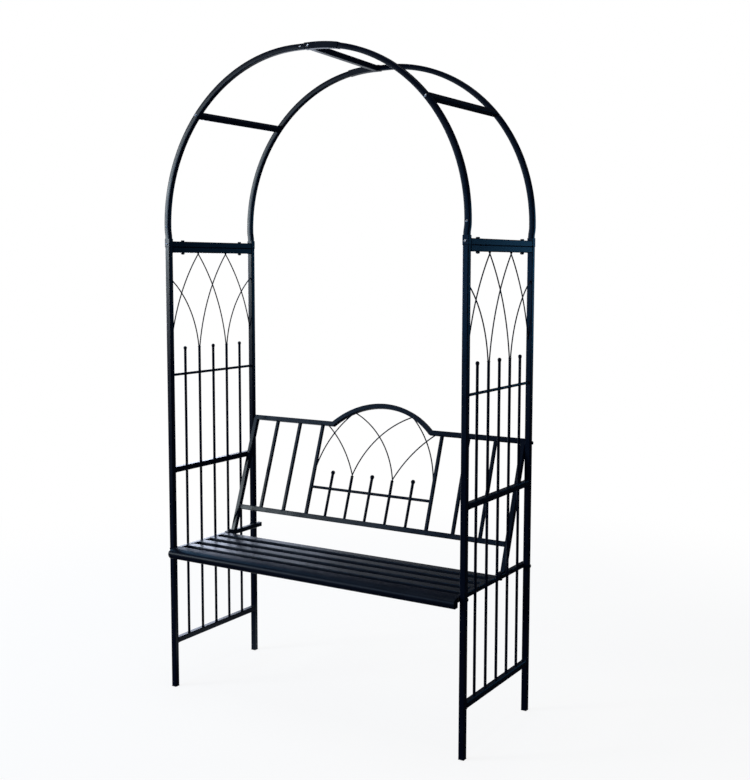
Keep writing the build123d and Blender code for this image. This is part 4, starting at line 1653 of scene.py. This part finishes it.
@dataclass
class Hardware(SubAssembly):
    """Every bolt, nut, screw and plug that shows."""

    tie_bolt_depth: float = 145.0
    seat_rail_height: float = 460.5
    seat_rail_axis: float = 516.0
    seat_rail_size: float = 15.0
    back_bolt: Flat = (214.0, 844.1)
    foot_bolt_depth: float = 58.95
    foot_plate: float = 2.5
    bolt_radius: float = 3.0
    bolt_end: float = 1.0
    thread_depth: float = 0.45
    thread_pitch: float = 1.0
    thread_range: Flat = (0.4, 2.4)
    tip_chamfer: float = 0.3
    head_across: float = 10.0
    head_height: float = 4.0
    head_chamfer: float = 0.7
    head_crown: float = 0.93
    head_seat: Flat = (0.25, 0.96)
    nut_height: float = 5.0
    nut_chamfer: float = 0.5
    nut_crown: float = 0.94
    nut_mouth: float = 0.35
    nut_thread: float = 0.1
    hoop_face: float = 218.25
    socket_face: float = 219.5
    rung_screw: Flat = (406.8, 1842.9)
    tie_screw_height: float = 1450.0
    socket_screw_height: float = 1503.0
    crown_screw_height: float = 2013.0
    crown_screw_shift: float = 17.0
    sleeve_screw_shift: float = 11.5
    long_screw: ButtonScrew = ButtonScrew(4.25, 2.6)
    small_screw: ButtonScrew = ButtonScrew(3.25, 1.8)

    def build(self) -> None:
        """Build every bolt, nut and screw."""
        self.make_bolts()
        self.make_nuts()
        self.make_screws()
        self.shop.ease(self.palette.plastic, "foot_plugs", edge=0.5)

    def bolt(self, grip: float) -> bpy.types.Mesh:
        """Return a hexagon bolt with the length of its stack, threaded at its end.

        Args:
            grip: How thick the stack under its head is.

        Returns:
            The mesh, its head sitting at the origin and facing up.
        """
        end = -(grip + self.nut_height + self.bolt_end)
        flat, radius, core = self.head_across / 2, self.bolt_radius, self.bolt_radius
        core -= self.thread_depth
        rings = [Ring(end, core - self.tip_chamfer)]
        height = end + self.thread_range[0]
        while height < end + self.thread_range[1]:
            rings += [Ring(height, radius), Ring(height + self.thread_pitch / 2, core)]
            height += self.thread_pitch
        step, seat = self.head_seat
        rings += [
            Ring(height, radius),
            Ring(0.0, radius),
            Ring(0.0, flat * seat),
            Ring(step, flat, True),
            Ring(self.head_height - self.head_chamfer, flat, True),
            Ring(self.head_height, flat * self.head_crown),
        ]
        return turned_shape("bolt", rings)

    def nut(self) -> bpy.types.Mesh:
        """Return a hexagon nut with chamfered rims, sitting at the origin and facing up."""
        flat, top, rim = self.head_across / 2, self.nut_height, self.nut_chamfer
        rings = [
            Ring(0.0, flat * self.nut_crown),
            Ring(rim, flat, True),
            Ring(top - rim, flat, True),
            Ring(top, flat * self.nut_crown),
            Ring(top, self.bolt_radius + self.nut_mouth),
            Ring(top - rim, self.bolt_radius - self.nut_thread),
        ]
        return turned_shape("nut", rings)

    def make_bolts(self) -> None:
        """Make the four sets of bolts."""
        outer = self.half_across + self.leg_size / 2
        tie = (self.half_across, self.tie_bolt_depth, self.leg_top + self.leg_size)
        foot = (self.seat_rail_axis, self.foot_bolt_depth, self.seat_height + self.foot_plate)
        seat = (outer, self.half_deep, self.seat_rail_height)
        rear = (End.REAR,)
        sets = {
            "seat_bolts": (self.leg_size + self.seat_rail_size, spread(seat, Facing.RIGHT)),
            "backrest_bolts": (
                self.leg_size + self.back_tube,
                spread((outer, *self.back_bolt), Facing.RIGHT, rear),
            ),
            "tie_bolts": (2 * self.leg_size, spread(tie, Facing.UP)),
            "foot_bolts": (self.foot_plate + self.seat_rail_size, spread(foot, Facing.UP, rear)),
        }
        for node, (grip, places) in sets.items():
            name = f"hex_{node}"
            bolts = self.shop.copies(name, self.bolt(grip), places, self.palette.dark_zinc)
            settle(bolts, "zinc", node)

    def make_nuts(self) -> None:
        """Make the nuts inside the bench and under the top rails."""
        seat = (self.rail_inner, self.half_deep, self.seat_rail_height)
        back = (self.stile_inner, *self.back_bolt)
        under_rail = self.seat_height - self.seat_rail_size
        foot = (self.seat_rail_axis, self.foot_bolt_depth, under_rail)
        tie = (self.half_across, self.tie_bolt_depth, self.leg_top - self.leg_size)
        inner = spread(seat, Facing.LEFT) + spread(back, Facing.LEFT, (End.REAR,))
        inner += spread(foot, Facing.DOWN, (End.REAR,))
        finish = self.palette.dark_zinc
        settle(self.shop.copies("seat_nuts", self.nut(), inner, finish), "zinc", "hex_nuts")
        under = spread(tie, Facing.DOWN)
        settle(self.shop.copies("tie_nuts", self.nut(), under, finish), "zinc")

    def make_screws(self) -> None:
        """Make the screws through the hoops, sockets and sleeves."""
        reach, height = self.rung_screw
        long_places = spread((reach, self.hoop_face, height), Facing.REAR)
        tie = (self.half_across, self.socket_face, self.tie_screw_height)
        long_places += spread(tie, Facing.REAR)
        socket = (self.half_across + self.set_out, self.hoop_face, self.socket_screw_height)
        small_places = spread(socket, Facing.REAR)
        crown = self.crown_screw_height
        for end in End:
            sign, facing = end.value, Facing.REAR.mirrored(Side.RIGHT, end)
            spot = (-sign * self.crown_screw_shift, sign * self.socket_face, crown)
            long_places.append((spot, facing))
            spot = (sign * self.sleeve_screw_shift, sign * self.hoop_face, crown)
            small_places.append((spot, facing))
        sets = {
            "long_screws": (self.long_screw, long_places),
            "small_screws": (self.small_screw, small_places),
        }
        for name, (screw, places) in sets.items():
            settle(self.shop.copies(name, screw.mesh(), places, self.palette.zinc), "zinc")


@dataclass(frozen=True)
class Panel:
    """One soft lamp: a rectangular panel that faces the bench. Its sizes are in metres."""

    name: str
    place: Point
    target: Point
    size: Flat
    power: float
    tint: Colour = (1.0, 1.0, 1.0)

    def hang(self) -> None:
        """Add the lamp to the scene."""
        data = bpy.data.lights.new(self.name, "AREA")
        data.shape = "RECTANGLE"
        data.size, data.size_y = self.size
        data.energy = self.power
        data.color = self.tint
        lamp = bpy.data.objects.new(self.name, data)
        lamp.location = self.place
        aim = Vector(self.target) - Vector(self.place)
        lamp.rotation_euler = aim.to_track_quat("-Z", "Y").to_euler()
        lamp.visible_camera = False
        bpy.context.scene.collection.objects.link(lamp)


# A key at the front left, and weak cool lamps round the bench.
PANELS = (
    Panel("key panel", (-4.1, -3.6, 1.85), (0.0, 0.0, 1.3), (1.1, 1.0), 190.0),
    Panel("front fill", (-1.4, -3.6, 1.3), (0.3, 0.0, 1.3), (1.3, 0.5), 20.0, (0.08, 0.42, 1.0)),
    Panel("side fill", (1.4, 3.0, 1.4), (0.5, 0.2, 1.3), (0.9, 1.0), 5.0, (0.12, 0.5, 1.0)),
    Panel("back fill", (-1.3, -1.35, 1.62), (-0.2, 0.2, 0.9), (0.9, 0.3), 6.0, (0.35, 0.62, 1.0)),
    Panel("high fill", (-2.5, 1.1, 2.3), (-0.4, -0.2, 0.5), (1.0, 1.6), 12.0, (0.2, 0.55, 1.0)),
    Panel("rear panel", (-3.75, 2.8, 1.4), (-0.3, 0.0, 0.6), (1.5, 0.9), 27.0, (0.74, 0.8, 1.0)),
    Panel("rear fill", (-2.6, 2.8, 1.4), (-0.1, 0.0, 0.6), (0.9, 0.9), 4.2, (0.7, 0.78, 1.0)),
    Panel("top panel", (0.0, 0.0, 4.6), (0.0, 0.0, 0.0), (2.4, 2.4), 60.0),
)


@dataclass
class Studio:
    """The camera, the pale floor, the world and the lamps."""

    camera_place: Point = (1956.1, -2957.4, 1386.3)
    camera_turn: Point = (84.572, -0.136, 31.474)
    lens: float = 52.51
    sensor: float = 36.0
    shift: Flat = (-0.0130, -0.0224)
    sight: float = 60.0
    floor_reach: float = 14.0
    floor_glow: float = 0.86
    floor_fade: Flat = (1.3, 3.2)
    paper: Colour = (0.88, 0.885, 0.89)
    paper_roughness: float = 0.5
    ambient: float = 0.3
    cool: Colour = (0.84, 0.90, 1.0)
    sweep_turn: float = 58.0
    sweep_range: Flat = (0.80, 0.955)
    sweep_height: Flat = (0.10, 0.42)
    room: float = 0.025

    def build(self) -> None:
        """Set up everything that isn't the bench."""
        self.make_camera()
        sweep = self.sweep_group()
        self.make_floor(sweep)
        self.make_world(sweep)
        for panel in PANELS:
            panel.hang()
        bpy.context.scene.view_settings.view_transform = "Standard"

    def make_camera(self) -> None:
        """Set the camera where the photographer's stood."""
        data = bpy.data.cameras.new("camera")
        data.lens = self.lens
        data.sensor_width = self.sensor
        data.shift_x, data.shift_y = self.shift
        data.clip_end = self.sight
        camera = bpy.data.objects.new("camera", data)
        camera.location = Vector(self.camera_place) * MM
        camera.rotation_euler = [radians(turn) for turn in self.camera_turn]
        bpy.context.scene.collection.objects.link(camera)
        bpy.context.scene.camera = camera

    def sweep_group(self) -> bpy.types.NodeTree:
        """Return the group that says how bright the white backdrop is in a direction.

        The backdrop stands behind the bench on the left. The room beside and above it is dim, so
        that gloss and metal show both.

        Returns:
            The group.
        """
        group = Group(
            "white backdrop", "ShaderNodeTree", [("Direction", Socket.VECTOR, (0.0, 1.0, 0.0))],
            [("Brightness", Socket.FLOAT)],
        )
        turn = radians(self.sweep_turn)
        kind = "ShaderNodeVectorMath"
        unit = group.get(kind, {0: group.given["Direction"]}, operation="NORMALIZE")
        feeds = {0: unit, 1: (-sin(turn), cos(turn), 0.0)}
        facing = group.get(kind, feeds, "Value", operation="DOT_PRODUCT")
        height = group.get("ShaderNodeSeparateXYZ", {0: unit}, 2)
        beside = group.ramp(facing, *self.sweep_range, shape="SMOOTHSTEP")
        above = group.ramp(height, *self.sweep_height, 1.0, 0.0, "SMOOTHSTEP")
        share = group.math("MULTIPLY", beside, above)
        return group.put({"Brightness": group.ramp(share, start=self.room)})

    def backdrop_light(
        self, graph: Graph, place: bpy.types.NodeSocket, sweep: bpy.types.NodeTree
    ) -> tuple[bpy.types.NodeSocket, bpy.types.NodeSocket, Feeds]:
        """Add the nodes that tell what a ray sees of the backdrop.

        Args:
            graph: The floor's or the world's nodes.
            place: The direction or place that the ray meets.
            sweep: The backdrop's group.

        Returns:
            A socket that is 1 for camera rays, one that is 1 for glossy and transmission rays,
            and the backdrop's colour and strength.
        """
        rays = graph.add("ShaderNodeLightPath").outputs
        camera = rays["Is Camera Ray"]
        gloss = graph.math("MAXIMUM", rays["Is Glossy Ray"], rays["Is Transmission Ray"])
        level = graph.get("ShaderNodeGroup", {"Direction": place}, "Brightness", node_tree=sweep)
        shade = graph.blend(camera, opaque(self.cool), WHITE)
        return camera, gloss, {"Color": shade, "Strength": graph.ramp(camera, start=level)}

    def make_floor(self, sweep: bpy.types.NodeTree) -> None:
        """Lay the pale floor, which keeps the bench's shadow.

        Args:
            sweep: The backdrop's group.
        """
        reach = self.floor_reach
        mesh = bpy.data.meshes.new("floor")
        corners = [(-reach, -reach, 0), (reach, -reach, 0), (reach, reach, 0), (-reach, reach, 0)]
        mesh.from_pydata(corners, [], [(0, 1, 2, 3)])
        floor = linked_object("floor", mesh)
        material = bpy.data.materials.new("white paper floor")
        graph = blank_graph(material)
        place = graph.get("ShaderNodeTexCoord", output="Object")
        camera, gloss, glow = self.backdrop_light(graph, place, sweep)
        feeds = {"Color": opaque(self.paper), "Roughness": self.paper_roughness}
        paper = graph.get("ShaderNodeBsdfDiffuse", feeds)
        distance = graph.get("ShaderNodeVectorMath", {0: place}, "Value", operation="LENGTH")
        lit = graph.ramp(distance, *self.floor_fade, self.floor_glow, shape="SMOOTHSTEP")
        share = graph.math("MAXIMUM", graph.math("MULTIPLY", camera, lit), gloss)
        feeds = {0: share, 1: paper, 2: graph.get("ShaderNodeEmission", glow)}
        graph.add("ShaderNodeOutputMaterial", {0: graph.get("ShaderNodeMixShader", feeds)})
        mesh.materials.append(material)

    def make_world(self, sweep: bpy.types.NodeTree) -> None:
        """Make the world white where it is seen and a plain soft light elsewhere.

        Args:
            sweep: The backdrop's group.
        """
        world = bpy.data.worlds.new("white studio")
        graph = blank_graph(world)
        direction = graph.get("ShaderNodeTexCoord", output="Generated")
        camera, gloss, glow = self.backdrop_light(graph, direction, sweep)
        soft = graph.get("ShaderNodeBackground", {"Color": WHITE, "Strength": self.ambient})
        white = graph.get("ShaderNodeBackground", glow)
        feeds = {0: graph.math("MAXIMUM", camera, gloss), 1: soft, 2: white}
        graph.add("ShaderNodeOutputWorld", {0: graph.get("ShaderNodeMixShader", feeds)})
        bpy.context.scene.world = world


def main() -> None:
    """Build the studio and the bench's sub-assemblies, in order."""
    logging.basicConfig(level=logging.INFO, format="%(name)s: %(message)s")
    Studio().build()
    shop = Shop()
    palette = Palette.mix(Effects.build())
    for side in Side:
        SidePanel(shop, palette, side=side).build()
    for part in (Arch, Seat, Backrest, Hardware):
        part(shop, palette).build()


if __name__ == "__main__":
    main()
